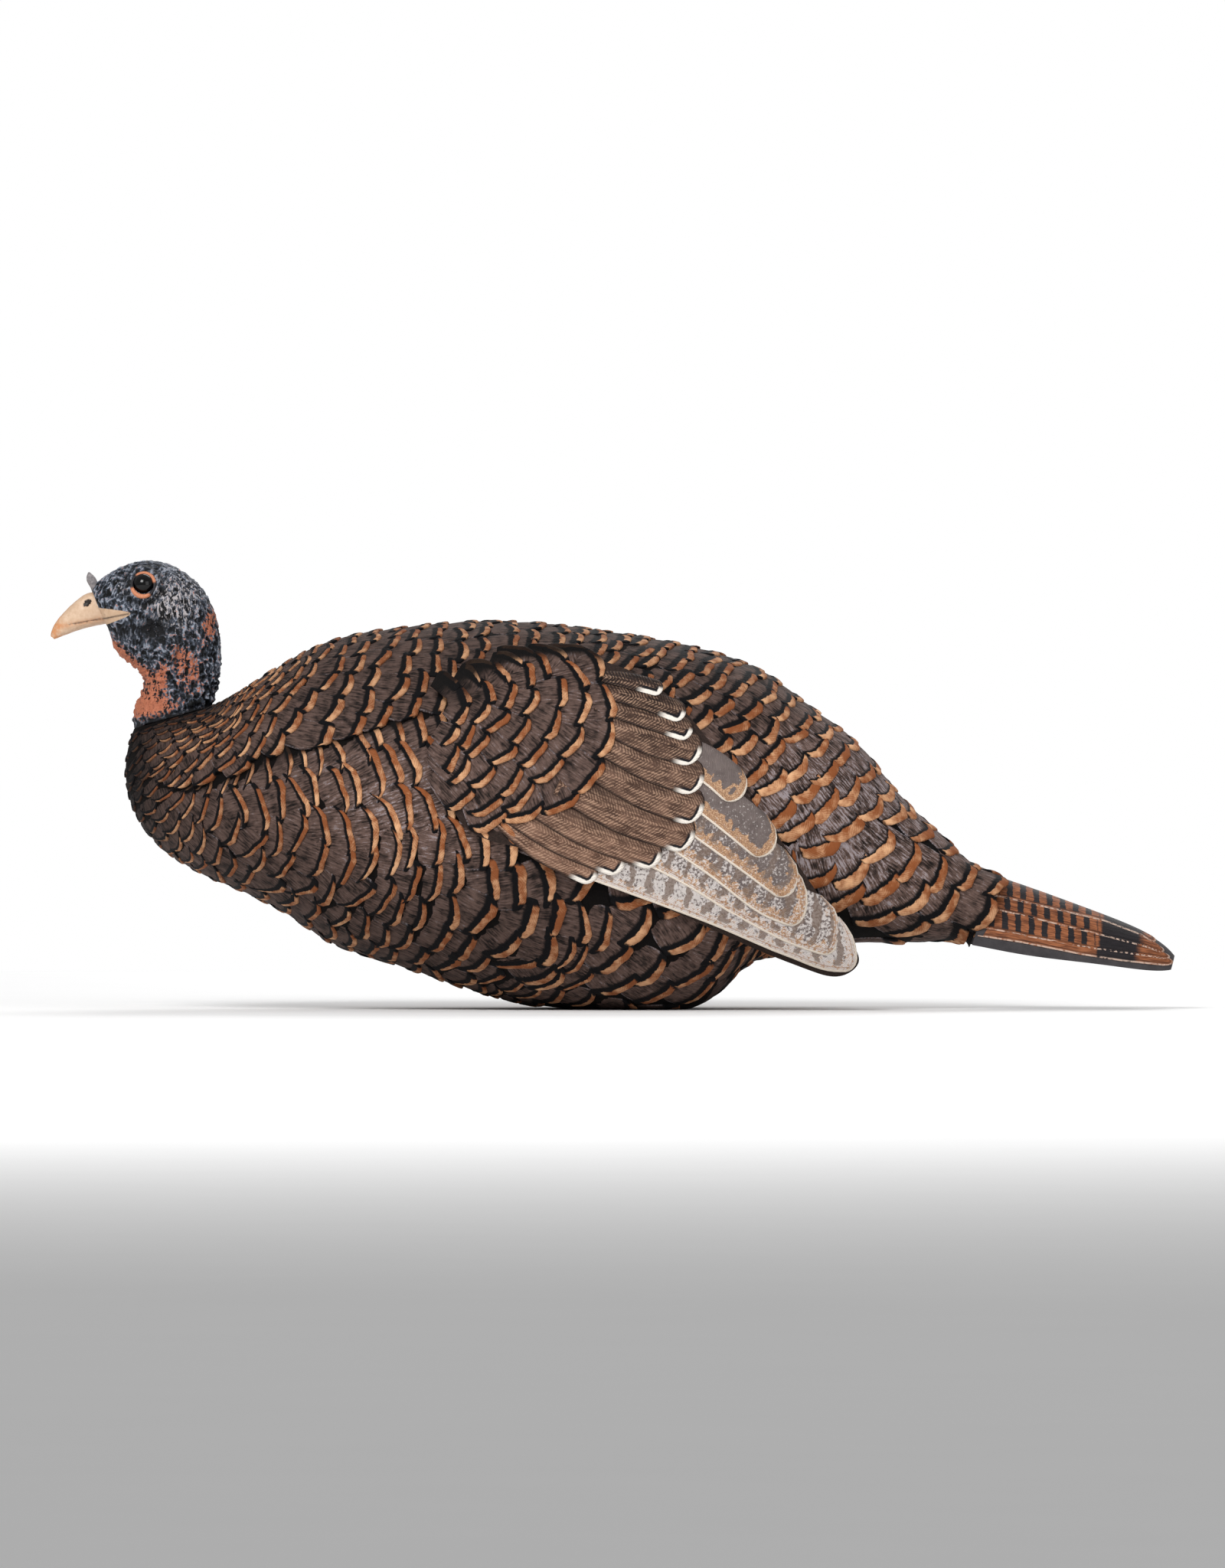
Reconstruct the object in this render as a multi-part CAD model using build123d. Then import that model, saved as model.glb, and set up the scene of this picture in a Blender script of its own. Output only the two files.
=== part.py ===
from build123d import *

import math
import os

# Life-size laydown hen turkey decoy, in millimetres.
#
# +Z is up, the bill points along -X, the tail along +X, and the bird's left side is -Y.
# The origin is on the ground, under the middle of the overall length.
#
# The body is two moulded half shells dowelled together on the centre plane. A stake tube
# runs from the belly to the back, so the decoy can be set on a 10 mm ground stake. The head
# turns on a keyed plug, which lifts out of a socket in the neck. The tail pulls out of a
# socket in the rump, and each wing is a moulded cover held by three studs and clips.

# ---------------------------------------------------------------- driving dimensions
WALL = 3.0                 # body shell
RUN = 0.05                 # radial clearance of a running fit
GAP = 0.5                  # between faces that only pass each other

RING_POINTS = 16           # points on each body section
WIDEST = 0.47              # how far up a section it is widest, as a share of its height
SQUARENESS = 2.25          # 2 is an ellipse

# Body sections from the neck to the rump: ventral (x, z), dorsal (x, z), half width.
BODY_SECTIONS = [
    ((-298, 174), (-250, 187.5), 22),
    ((-303, 153), (-238, 193), 34),
    ((-298, 124), (-214, 208), 55),
    ((-280, 100), (-186, 224), 74),
    ((-248, 81), (-150, 234), 90),
    ((-205, 61), (-108, 239), 101),
    ((-155, 34), (-65, 240.5), 108),
    ((-100, 16), (-30, 238), 111),
    ((-52, 3), (5, 233), 111),
    ((0, -3), (40, 227), 107),
    ((42, -2), (72.5, 218.5), 101),
    ((63, 8), (96, 208), 95),
    ((80, 25), (115, 193.5), 87),
    ((102, 34), (139, 176), 78),
    ((135, 38.5), (163.5, 151.5), 65),
    ((165, 42), (188.5, 122), 53),
    ((195, 42), (213, 99), 42),
    ((222, 38), (236, 85), 35),
]

# The wings lie on a fuller form than the body, because their tips stand off the rump.
WING_FORM = BODY_SECTIONS[4:11] + [
    ((64, 4), (95, 209), 97),
    ((80, 10), (115, 196), 92),
    ((104, 8), (138, 179), 87),
    ((134, 3), (163, 156), 81),
    ((164, 0), (188, 130), 76),
    ((196, 0), (215, 112), 73),
]
WING_OFF_BODY = 1.0        # inner face of the wing above its form
WING_THICK = 5.0
WING_OUTLINE = [           # side view (x, z), from the shoulder over the top to the tip and back
    (-100, 142), (-97, 176), (-82, 203), (-54, 217), (-20, 218), (12, 209),
    (43, 186), (71, 150), (100, 110), (126, 73), (148, 41), (152, 30),
    (144, 22), (122, 24.5), (95, 35), (60, 51), (24, 67), (-15, 82.5),
    (-50, 99), (-78, 106), (-95, 119),
]
WING_STUDS = [(-62, 168), (-2, 166), (10, 116)]
STUD_R = 3.0
BOSS_R, BOSS_DEPTH = 8.0, 4.0
CLIP_R, CLIP_THICK = 7.0, 1.7
SCREW_R = 1.22

# Bosses with dowels along the seam: index of the body section, and whether on the back.
SEAM_BOSSES = [(3, True), (6, True), (11, True), (14, True), (4, False), (7, False), (13, False)]
SEAM_BOSS_R, DOWEL_R, DOWEL_LENGTH = 5.0, 2.0, 13.0

# Neck joint: the plane that the head turns on.
NECK_FRONT, NECK_BACK = BODY_SECTIONS[0][0], BODY_SECTIONS[0][1]
DECK_R, DECK_THICK = 29.0, 6.0
SOCKET_FLANGE_R, SOCKET_FLANGE_THICK = 19.0, 2.5
SOCKET_BORE_R, SOCKET_WALL, SOCKET_DEPTH = 10.0, 3.0, 42.0
SOCKET_SCREW_CIRCLE_R = 16.0
PLUG_LENGTH, PLUG_FLANGE_R, PLUG_FLANGE_THICK = 38.0, 17.0, 3.0
KEY_WIDTH, KEY_HEIGHT, KEY_LENGTH = 3.0, 2.0, 26.0
BOLT_R, BOLT_HEAD_R, BOLT_HEAD_THICK = 3.0, 5.5, 4.0
CORE_FLANGE_R, CORE_FLANGE_TOP = 14.0, 7.0
CORE_R, CORE_TOP = 9.0, 19.0
WASHER_R, WASHER_THICK = 10.0, 1.0
HEAD_TURN = 90.0           # degrees each way, set by a lug in a groove
LUG_INNER_R, LUG_OUTER_R, LUG_WIDTH, LUG_DEPTH = 11.5, 13.5, 4.0, 2.5

# Head and neck sections from the joint to the bill: throat (x, z), nape or crown (x, z), half width.
HEAD_WALL = 4.0
HEAD_SECTIONS = [
    ((-297.5, 175), (-250.5, 188), 21.5),
    ((-294.5, 187), (-247.5, 198), 20),
    ((-290.5, 199), (-245.5, 209), 18.5),
    ((-291.5, 209), (-245, 222), 19.5),
    ((-300, 217), (-247, 240), 22),
    ((-308.5, 226), (-255, 259), 24),
    ((-314.5, 235), (-270, 272.5), 23.5),
    ((-317, 239.5), (-288, 277.8), 21.5),
    ((-319.5, 242), (-304, 274.5), 16.5),
    ((-322, 244.5), (-317, 267), 11),
    ((-325, 248), (-325, 259), 6),
]
# Bill sections from the gape to the tip: lower (x, z), upper (x, z), half width.
BILL_SECTIONS = [
    ((-310, 241.5), (-313, 249), 8),
    ((-316, 239.7), (-322, 258.5), 8.2),
    ((-326, 237.7), (-329.5, 257), 7),
    ((-335, 235), (-338.5, 249.5), 5.2),
    ((-343, 232), (-346, 241), 3),
    ((-348.6, 229.2), (-350, 232), 1.2),
]
EYE_AT, EYE_R, EYE_SUNK = (-291.5, 263.5), 7.0, 3.6
SNOOD_BASE, SNOOD_TIP, SNOOD_R = (-322.5, 259.0), (-326.0, 271.0), 2.6

# Ground stake tube.
STAKE_X = -14.0
STAKE_BORE_R, STAKE_TUBE_R, STAKE_TUBE_TOP = 5.2, 8.0, 200.0
STAKE_FLANGE_R, STAKE_FLANGE_THICK = 24.0, 3.0
STAKE_SCREW_CIRCLE_R, STAKE_SCREW_R, STAKE_SCREW_HEAD_R, HEAD_DEPTH = 17.0, 1.5, 3.4, 1.6
CAP_R, CAP_THICK, SADDLE_R = 11.0, 10.0, 20.0
FOOT_GAP = 0.3             # tube and screw heads stay above the ground
DRAIN_X, DRAIN_Y, DRAIN_R, DRAIN_BORE_R, DRAIN_LIP_R = 26.0, 12.0, 4.0, 2.5, 6.0

# Tail: sections at distances back from the rump plane, as (distance, top, edge, half width, thick).
TAIL_ROOT_FRONT, TAIL_ROOT_BACK = BODY_SECTIONS[-1][0], BODY_SECTIONS[-1][1]
TAIL_SECTIONS = [
    (0.6, 22.5, -22.5, 32.0, 12.0),
    (30, 21.5, -19.5, 32.0, 10.0),
    (62, 19.5, -14.5, 30.0, 8.0),
    (92, 17.0, -9.5, 26.0, 6.5),
    (112, 13.0, -6.0, 19.0, 5.0),
    (124.2, 7.0, -2.0, 9.0, 3.5),
]
TANG_WIDTH, TANG_THICK, TANG_LENGTH, TANG_IN_TAIL, TANG_FIT = 26.0, 6.0, 34.0, 40.0, 0.3
TAIL_SOCKET_WALL, TAIL_FLANGE_THICK, TAIL_SCREW_X = 3.0, 3.0, 21.0
TAIL_DECK = 5.0            # rump wall that carries the tail socket
RUMP_SPAN = 27.0           # between the last two body sections


# ---------------------------------------------------------------- small helpers
def side_point(point, y=0.0):
    """A (x, z) point of the side view as a 3-D point."""
    return Vector(point[0], y, point[1])


def mixed(a, b, share):
    """The section a share of the way from section a to section b."""
    def between(p, q):
        return tuple(u + (v - u) * share for u, v in zip(p, q))

    return between(a[0], b[0]), between(a[1], b[1]), a[2] + (b[2] - a[2]) * share


def grown(section, by):
    """A section made larger all round by a distance, or smaller where it is negative."""
    low, high = side_point(section[0]), side_point(section[1])
    along = (high - low).normalized() * by
    low, high = low - along, high + along
    return (low.X, low.Z), (high.X, high.Z), section[2] + by


def ring(section, squareness=SQUARENESS, widest=WIDEST):
    """A closed smooth wire round a section, from its top point."""
    low, high = side_point(section[0]), side_point(section[1])
    power = 2 / squareness
    points = []
    for i in range(RING_POINTS):
        turn = 2 * math.pi * i / RING_POINTS
        up, out = math.cos(turn), math.sin(turn)
        reach = (1 - widest) if up > 0 else widest
        share = widest + reach * math.copysign(abs(up) ** power, up)
        y = section[2] * math.copysign(abs(out) ** power, out)
        points.append(low + (high - low) * share + Vector(0, y, 0))
    return Wire([Edge.make_spline(points, periodic=True)])


def skin(sections, **shape):
    """The closed solid through a list of sections."""
    return Solid.make_loft([ring(s, **shape) for s in sections])


def joined(*shapes):
    """The shapes as one compound of separate solids."""
    return Compound(children=[s for shape in shapes for s in shape.solids()])


def slab(x_from, x_to, y_from, y_to, z_from, z_to):
    """A box between six planes."""
    low = Vector(x_from, y_from, z_from)
    return Pos(*low) * Box(
        x_to - x_from, y_to - y_from, z_to - z_from, align=(Align.MIN,) * 3
    )


def rod(radius, start, end):
    """A cylinder between two points."""
    start, end = Vector(*start), Vector(*end)
    plane = Plane(origin=start, z_dir=end - start)
    return plane * Cylinder(
        radius, (end - start).length, align=(Align.CENTER, Align.CENTER, Align.MIN)
    )


# ---------------------------------------------------------------- frames of the two end joints
neck_middle = (side_point(NECK_FRONT) + side_point(NECK_BACK)) * 0.5
neck_back_dir = (side_point(NECK_BACK) - side_point(NECK_FRONT)).normalized()
neck_up = neck_back_dir.cross(Vector(0, 1, 0))
NECK = Plane(origin=neck_middle, x_dir=neck_back_dir, z_dir=neck_up)

tail_middle = (side_point(TAIL_ROOT_FRONT) + side_point(TAIL_ROOT_BACK)) * 0.5
tail_up = (side_point(TAIL_ROOT_BACK) - side_point(TAIL_ROOT_FRONT)).normalized()
tail_out = Vector(0, 1, 0).cross(tail_up)
TAIL = Plane(origin=tail_middle, x_dir=Vector(0, 1, 0), z_dir=tail_out)  # local y is up


def neck_rod(radius, start, end, at=(0, 0)):
    """A cylinder along the neck axis between two heights above the joint plane."""
    return NECK * Pos(at[0], at[1], start) * Cylinder(
        radius, end - start, align=(Align.CENTER, Align.CENTER, Align.MIN)
    )


def on_circle(radius, count, first=0.0):
    """Points evenly spaced on a circle, from an angle in degrees."""
    for i in range(count):
        turn = math.radians(first + 360 * i / count)
        yield radius * math.cos(turn), radius * math.sin(turn)


# ---------------------------------------------------------------- body shells
def body_forms():
    """The outside of the body as a solid, and the hollow inside it."""
    outside = skin(BODY_SECTIONS) & slab(-400, 400, -200, 200, 0, 300)
    inner = BODY_SECTIONS[:-1]
    inner.append(mixed(BODY_SECTIONS[-2], BODY_SECTIONS[-1], 1 - TAIL_DECK / RUMP_SPAN))
    hollow = skin([grown(s, -WALL) for s in inner])
    hollow = hollow & slab(-400, 400, -200, 200, WALL, 300)
    return outside, hollow


def seam_boss_places():
    """Places of the bosses along the seam, on the centre plane just inside the wall."""
    for i, on_back in SEAM_BOSSES:
        end = 1 if on_back else 0
        before, at, after = (side_point(BODY_SECTIONS[n][end]) for n in (i - 1, i, i + 1))
        inward = Vector(0, 1, 0).cross((after - before).normalized())
        inward = inward * (1 if (inward.Z < 0) == on_back else -1)
        yield at + inward * (SEAM_BOSS_R + 1.5)


def left_half(shape):
    """The part of a shape on the bird's left."""
    return shape & slab(-400, 400, -200, 0, -10, 300)


def left_shell(outside, hollow):
    """The left half shell. The right one is its mirror image."""
    shell = left_half(outside) - hollow
    shell += left_half(outside & neck_rod(DECK_R, -DECK_THICK, 0))
    for place in seam_boss_places():
        shell += rod(SEAM_BOSS_R, place - Vector(0, DOWEL_LENGTH / 2 + 2, 0), place)
        shell -= rod(DOWEL_R + RUN, place - Vector(0, DOWEL_LENGTH / 2 + 0.5, 0), place)

    for x, z in WING_STUDS:
        wall_y = -wall_at(hollow, x, z)
        seat = side_point((x, z), wall_y + BOSS_DEPTH)
        shell += rod(BOSS_R, seat, side_point((x, z), wall_y - 1.5)) & outside
        shell -= rod(STUD_R + 0.3, seat, side_point((x, z), wall_y - 12))

    # Neck socket seat and its screw holes.
    shell -= neck_rod(SOCKET_FLANGE_R + RUN, -SOCKET_FLANGE_THICK, 5)
    shell -= neck_rod(SOCKET_BORE_R + SOCKET_WALL + RUN, -30, 5)
    for at in on_circle(SOCKET_SCREW_CIRCLE_R, 3, 60):
        shell -= neck_rod(SCREW_R + 0.03, -DECK_THICK + 0.5, 0, at)

    # Tail socket slot and its screw holes.
    around = 2 * TAIL_SOCKET_WALL + 0.6
    shell -= TAIL * Box(TANG_WIDTH + around, TANG_THICK + around, 40)
    for x in (-TAIL_SCREW_X, TAIL_SCREW_X):
        shell -= TAIL * Pos(x, 0, 0) * Cylinder(SCREW_R + 0.03, 9)

    # Stake tube, its screws, and the drain holes in the flat belly.
    shell -= rod(STAKE_TUBE_R + RUN, (STAKE_X, 0, -1), (STAKE_X, 0, 10))
    shell -= rod(STAKE_FLANGE_R + 0.5, (STAKE_X, 0, WALL), (STAKE_X, 0, WALL + 10))
    for x, y in on_circle(STAKE_SCREW_CIRCLE_R, 4, 45):
        shell -= rod(STAKE_SCREW_R + 0.1, (STAKE_X + x, y, -1), (STAKE_X + x, y, 10))
        shell -= rod(STAKE_SCREW_HEAD_R + 0.1, (STAKE_X + x, y, -1), (STAKE_X + x, y, HEAD_DEPTH))
    shell -= rod(DRAIN_R, (DRAIN_X, -DRAIN_Y, -1), (DRAIN_X, -DRAIN_Y, 10))
    return left_half(shell)


def wall_at(form, x, z):
    """Half width of a form at a point of the side view."""
    line = Edge.make_line(Vector(x, 0, z), Vector(x, 200, z))
    inside = form.intersect(line)
    return max(v.Y for e in inside.edges() for v in e.vertices())


# ---------------------------------------------------------------- neck joint
def neck_parts():
    """Socket, plug, friction ring, washer, core and bolt, all along the neck axis."""
    tube_r = SOCKET_BORE_R + SOCKET_WALL
    socket = neck_rod(SOCKET_FLANGE_R, -SOCKET_FLANGE_THICK, 0)
    socket += neck_rod(tube_r, -SOCKET_DEPTH, 0)
    socket -= neck_rod(SOCKET_BORE_R, -SOCKET_DEPTH + 3, 1)
    key_align = (Align.MAX, Align.CENTER, Align.MAX)
    keyway = Box(KEY_HEIGHT + 0.4 + 1, KEY_WIDTH + 0.6, KEY_LENGTH + 3, align=key_align)
    socket -= NECK * Pos(-SOCKET_BORE_R + 1, 0, 0) * keyway
    screws = []
    for at in on_circle(SOCKET_SCREW_CIRCLE_R, 3, 60):
        socket -= neck_rod(SCREW_R + 0.03, -SOCKET_FLANGE_THICK, 0, at)
        socket -= neck_rod(2.5, -1.5, 0, at)
        screws.append(neck_rod(SCREW_R, -DECK_THICK + 0.7, -1.5, at) + neck_rod(2.4, -1.5, -0.2, at))

    plug = neck_rod(SOCKET_BORE_R - RUN, -PLUG_LENGTH, 0)
    plug += neck_rod(PLUG_FLANGE_R, 0, PLUG_FLANGE_THICK)
    key = Box(KEY_HEIGHT + 1, KEY_WIDTH, KEY_LENGTH, align=key_align)
    plug += NECK * Pos(-SOCKET_BORE_R + 1, 0, 0) * key
    plug -= neck_rod(BOLT_R + RUN, -PLUG_LENGTH, PLUG_FLANGE_THICK)
    plug -= neck_rod(BOLT_HEAD_R + GAP, -PLUG_LENGTH, -PLUG_LENGTH + 6)
    groove = neck_rod(LUG_OUTER_R + 0.4, PLUG_FLANGE_THICK - 1.8, PLUG_FLANGE_THICK)
    groove -= neck_rod(LUG_INNER_R - 0.4, 0, PLUG_FLANGE_THICK)
    stop_x = LUG_WIDTH / 2 + 0.2 - (LUG_OUTER_R + 1) * math.cos(math.radians(HEAD_TURN))
    stops = NECK * Pos(stop_x, 0, 0) * Box(60, 60, 20, align=(Align.MIN, Align.CENTER, Align.CENTER))
    plug -= groove - stops
    ring_at = NECK * Pos(0, 0, -PLUG_LENGTH + 8) * Torus(SOCKET_BORE_R - 1.3, 1.2)
    plug -= ring_at

    washer = neck_rod(WASHER_R, PLUG_FLANGE_THICK, PLUG_FLANGE_THICK + WASHER_THICK)
    washer -= neck_rod(BOLT_R + RUN, 0, 10)
    core_low = PLUG_FLANGE_THICK + WASHER_THICK
    core = neck_rod(CORE_R, core_low, CORE_TOP) + neck_rod(CORE_FLANGE_R, core_low, CORE_FLANGE_TOP)
    lug_middle = (LUG_INNER_R + LUG_OUTER_R) / 2
    core += NECK * Pos(-lug_middle, 0, core_low) * Box(
        LUG_OUTER_R - LUG_INNER_R, LUG_WIDTH, LUG_DEPTH, align=(Align.CENTER, Align.CENTER, Align.MAX)
    )
    core -= neck_rod(BOLT_R, 0, CORE_TOP - 3)
    shoulder = -PLUG_LENGTH + 6
    head_end = shoulder - BOLT_HEAD_THICK
    bolt = neck_rod(BOLT_R, shoulder, CORE_TOP - 3) + neck_rod(BOLT_HEAD_R, head_end, shoulder)
    bolt -= NECK * Pos(0, 0, head_end) * extrude(RegularPolygon(2.9, 6), 2.5)
    return {
        "neck_socket": socket, "neck_socket_screws": joined(*screws), "neck_plug": plug,
        "plug_friction_ring": ring_at, "swivel_washer": washer, "neck_core": core, "swivel_bolt": bolt,
    }


# ---------------------------------------------------------------- head
def head_parts():
    """Hollow head and neck skin, bill, snood and eyes."""
    form = skin(HEAD_SECTIONS, squareness=2.0, widest=0.5)
    bill = skin(BILL_SECTIONS, squareness=2.0, widest=0.45)
    head = form - neck_rod(60, -60, GAP)
    head -= skin([grown(s, -HEAD_WALL) for s in HEAD_SECTIONS[4:9]], squareness=2.0, widest=0.5)
    head -= bill
    eye_y = wall_at(form, *EYE_AT) - EYE_SUNK
    eyes = {
        "eye_left": Pos(*side_point(EYE_AT, -eye_y)) * Sphere(EYE_R),
        "eye_right": Pos(*side_point(EYE_AT, eye_y)) * Sphere(EYE_R),
    }
    for eye in eyes.values():
        head -= eye
    base, tip = side_point(SNOOD_BASE), side_point(SNOOD_TIP)
    end = tip + (base - tip).normalized() * SNOOD_R
    snood = rod(SNOOD_R * 0.7, base, end) + Pos(*end) * Sphere(SNOOD_R)
    snood -= bill
    head -= snood
    head -= neck_rod(PLUG_FLANGE_R + 0.4, 0, PLUG_FLANGE_THICK + WASHER_THICK)
    head -= neck_rod(CORE_FLANGE_R, 0, CORE_FLANGE_TOP)
    head -= neck_rod(CORE_R, 0, CORE_TOP)
    return {"head_skin": head, "bill": bill, "snood": snood, **eyes}


# ---------------------------------------------------------------- wings
def left_wing(hollow):
    """The left wing with the studs on its inner face, and the clips that hold them."""
    form_in = skin([grown(s, WING_OFF_BODY) for s in WING_FORM])
    form_out = skin([grown(s, WING_OFF_BODY + WING_THICK) for s in WING_FORM])
    outline = Wire([Edge.make_spline([side_point(p) for p in WING_OUTLINE], periodic=True)])
    prism = extrude(Face(outline), 160, dir=(0, -1, 0))
    wing = (form_out & prism) - form_in
    wing = max(wing.solids(), key=lambda s: s.volume)
    clips = []
    for x, z in WING_STUDS:
        wall_y = -wall_at(hollow, x, z)
        seat_y = wall_y + BOSS_DEPTH
        tip = side_point((x, z), seat_y + 4)
        wing += rod(STUD_R, tip, side_point((x, z), -wall_at(form_in, x, z) - 2))
        back = side_point((x, z), seat_y + CLIP_THICK + 0.1)
        front = side_point((x, z), seat_y + 0.1)
        clips.append(rod(CLIP_R, back, front) - rod(STUD_R + 0.02, back, front))
    return wing, joined(*clips)


# ---------------------------------------------------------------- stake tube
def stake_parts(hollow):
    """Tube with its flange, screws, cap and the saddle that carries the back."""
    tube = rod(STAKE_TUBE_R, (STAKE_X, 0, FOOT_GAP), (STAKE_X, 0, STAKE_TUBE_TOP))
    tube += rod(STAKE_FLANGE_R, (STAKE_X, 0, WALL), (STAKE_X, 0, WALL + STAKE_FLANGE_THICK))
    tube -= rod(STAKE_BORE_R, (STAKE_X, 0, -1), (STAKE_X, 0, STAKE_TUBE_TOP + 1))
    screws = []
    for x, y in on_circle(STAKE_SCREW_CIRCLE_R, 4, 45):
        at = (STAKE_X + x, y)
        tube -= rod(STAKE_SCREW_R, (*at, WALL), (*at, WALL + STAKE_FLANGE_THICK))
        shank = rod(STAKE_SCREW_R, (*at, HEAD_DEPTH), (*at, WALL + STAKE_FLANGE_THICK - 0.2))
        screws.append(shank + rod(STAKE_SCREW_HEAD_R, (*at, FOOT_GAP), (*at, HEAD_DEPTH)))
    cap = rod(CAP_R, (STAKE_X, 0, STAKE_TUBE_TOP - 5), (STAKE_X, 0, STAKE_TUBE_TOP - 5 + CAP_THICK))
    cap -= rod(STAKE_TUBE_R + 0.02, (STAKE_X, 0, STAKE_TUBE_TOP - 6), (STAKE_X, 0, STAKE_TUBE_TOP))
    cap_top = STAKE_TUBE_TOP - 5 + CAP_THICK
    saddle = left_half(rod(SADDLE_R, (STAKE_X, 0, cap_top + 0.4), (STAKE_X, 0, 260)) & hollow)
    saddle = Pos(0, 0, -0.4) * (saddle + mirror(saddle, Plane.XZ))
    grommets = []
    for y in (-DRAIN_Y, DRAIN_Y):
        collar = rod(DRAIN_R, (DRAIN_X, y, FOOT_GAP), (DRAIN_X, y, WALL))
        collar += rod(DRAIN_LIP_R, (DRAIN_X, y, WALL), (DRAIN_X, y, WALL + 1.5))
        grommets.append(collar - rod(DRAIN_BORE_R, (DRAIN_X, y, -1), (DRAIN_X, y, 10)))
    return {
        "stake_tube": tube, "stake_tube_screws": joined(*screws), "stake_cap": cap,
        "back_saddle": saddle, "drain_grommets": joined(*grommets),
    }


# ---------------------------------------------------------------- tail
def tail_plane(distance):
    """The plane across the tail at a distance back from the rump plane."""
    return Plane(origin=TAIL.origin + TAIL.z_dir * distance, x_dir=TAIL.x_dir, z_dir=TAIL.z_dir)


def placed_on(plane, points):
    """Points given as (across, up) on a plane, as 3-D points."""
    return [plane.from_local_coords(Vector(x, y, 0)) for x, y in points]


def tail_section(distance, top, edge, half_width, thick):
    """A crescent across the tail, open below: an outer arch, and a flatter arch inside it."""
    plane = tail_plane(distance)
    lip = min(2.5, thick * 0.6)
    inner_width = half_width - lip
    outer_bend = half_width * 0.62, edge + (top - edge) * 0.72
    inner_top = top - thick
    inner_bend = inner_width * 0.62, edge + (inner_top - edge) * 0.66
    outer = placed_on(plane, [
        (-half_width, edge), (-outer_bend[0], outer_bend[1]), (0, top), outer_bend, (half_width, edge),
    ])
    inner = placed_on(plane, [
        (inner_width, edge), inner_bend, (0, inner_top), (-inner_bend[0], inner_bend[1]),
        (-inner_width, edge),
    ])
    return Wire([
        Edge.make_spline(outer), Edge.make_line(outer[-1], inner[0]),
        Edge.make_spline(inner), Edge.make_line(inner[-1], outer[0]),
    ])


def tail_core_section(distance, top, edge, half_width, _thick):
    """The space inside the tail's outer arch, a little smaller than it."""
    inset = 1.0
    bend = half_width * 0.6, edge + (top - edge) * 0.68
    arch = placed_on(tail_plane(distance), [
        (-half_width + inset, edge + inset), (-bend[0], bend[1]), (0, top - inset), bend,
        (half_width - inset, edge + inset),
    ])
    return Wire([Edge.make_spline(arch), Edge.make_line(arch[-1], arch[0])])


def tail_block(width, thick, start, end):
    """A box across the tail axis, between two distances back from the rump plane."""
    return TAIL * Pos(0, 0, start) * Box(
        width, thick, end - start, align=(Align.CENTER, Align.CENTER, Align.MIN)
    )


def tail_rod(radius, x, start, end):
    """A cylinder along the tail axis, a distance to the side of it."""
    return TAIL * Pos(x, 0, start) * Cylinder(
        radius, end - start, align=(Align.CENTER, Align.CENTER, Align.MIN)
    )


def tail_parts():
    """Folded tail fan, its tang and rivets, and the socket that holds it."""
    outer_width = TANG_WIDTH + 2 * TAIL_SOCKET_WALL
    outer_thick = TANG_THICK + 2 * TAIL_SOCKET_WALL
    tang = tail_block(TANG_WIDTH, TANG_THICK, -TANG_LENGTH, TANG_IN_TAIL)
    fan = Solid.make_loft([tail_section(*s) for s in TAIL_SECTIONS])
    core = Solid.make_loft([tail_core_section(*s) for s in TAIL_SECTIONS])
    fan += tail_block(TANG_WIDTH + 8, TANG_THICK + 18, 8, TANG_IN_TAIL) & core
    fan -= tang
    rivets = []
    for z in (18, 31):
        rivet = TAIL * Pos(0, 0, z) * Rot(90, 0, 0) * Cylinder(1.8, TANG_THICK + 9)
        fan -= rivet
        tang -= rivet
        rivets.append(rivet)
    socket = tail_block(outer_width, outer_thick, -TANG_LENGTH - 4, 0)
    socket += tail_block(outer_width + 20, outer_thick + 4, 0, TAIL_FLANGE_THICK)
    socket -= tail_block(TANG_WIDTH + 2 * TANG_FIT, TANG_THICK + 2 * TANG_FIT, -TANG_LENGTH - 1, 10)
    screws = []
    for x in (-TAIL_SCREW_X, TAIL_SCREW_X):
        socket -= tail_rod(SCREW_R + 0.03, x, 0, TAIL_FLANGE_THICK)
        shank = tail_rod(SCREW_R, x, -4.3, TAIL_FLANGE_THICK)
        screws.append(shank + tail_rod(2.4, x, TAIL_FLANGE_THICK, TAIL_FLANGE_THICK + 1.4))
    fan -= tail_block(outer_width + 22, outer_thick + 6, 0, TAIL_FLANGE_THICK + 2.2)
    return {
        "tail_fan": fan, "tail_tang": tang, "tail_rivets": joined(*rivets),
        "tail_socket": socket, "tail_socket_screws": joined(*screws),
    }


# ---------------------------------------------------------------- build
def main():
    os.makedirs("parts", exist_ok=True)
    outside, hollow = body_forms()
    shell = left_shell(outside, hollow)
    wing, clips = left_wing(hollow)
    nodes = {}
    for name, shape in {"body_shell": shell, "wing": wing, "wing_clips": clips}.items():
        nodes[name + "_left"] = shape
        nodes[name + "_right"] = mirror(shape, Plane.XZ)
    half = Vector(0, DOWEL_LENGTH / 2, 0)
    nodes["seam_dowels"] = joined(*[rod(DOWEL_R, p - half, p + half) for p in seam_boss_places()])
    nodes.update(neck_parts())
    nodes.update(head_parts())
    nodes.update(stake_parts(hollow))
    nodes.update(tail_parts())
    for name, shape in nodes.items():
        export_step(shape, f"parts/{name}.step")


main()
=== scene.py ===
import math

import bpy
import numpy as np
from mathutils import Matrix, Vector, noise
from mathutils.bvhtree import BVHTree


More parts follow.
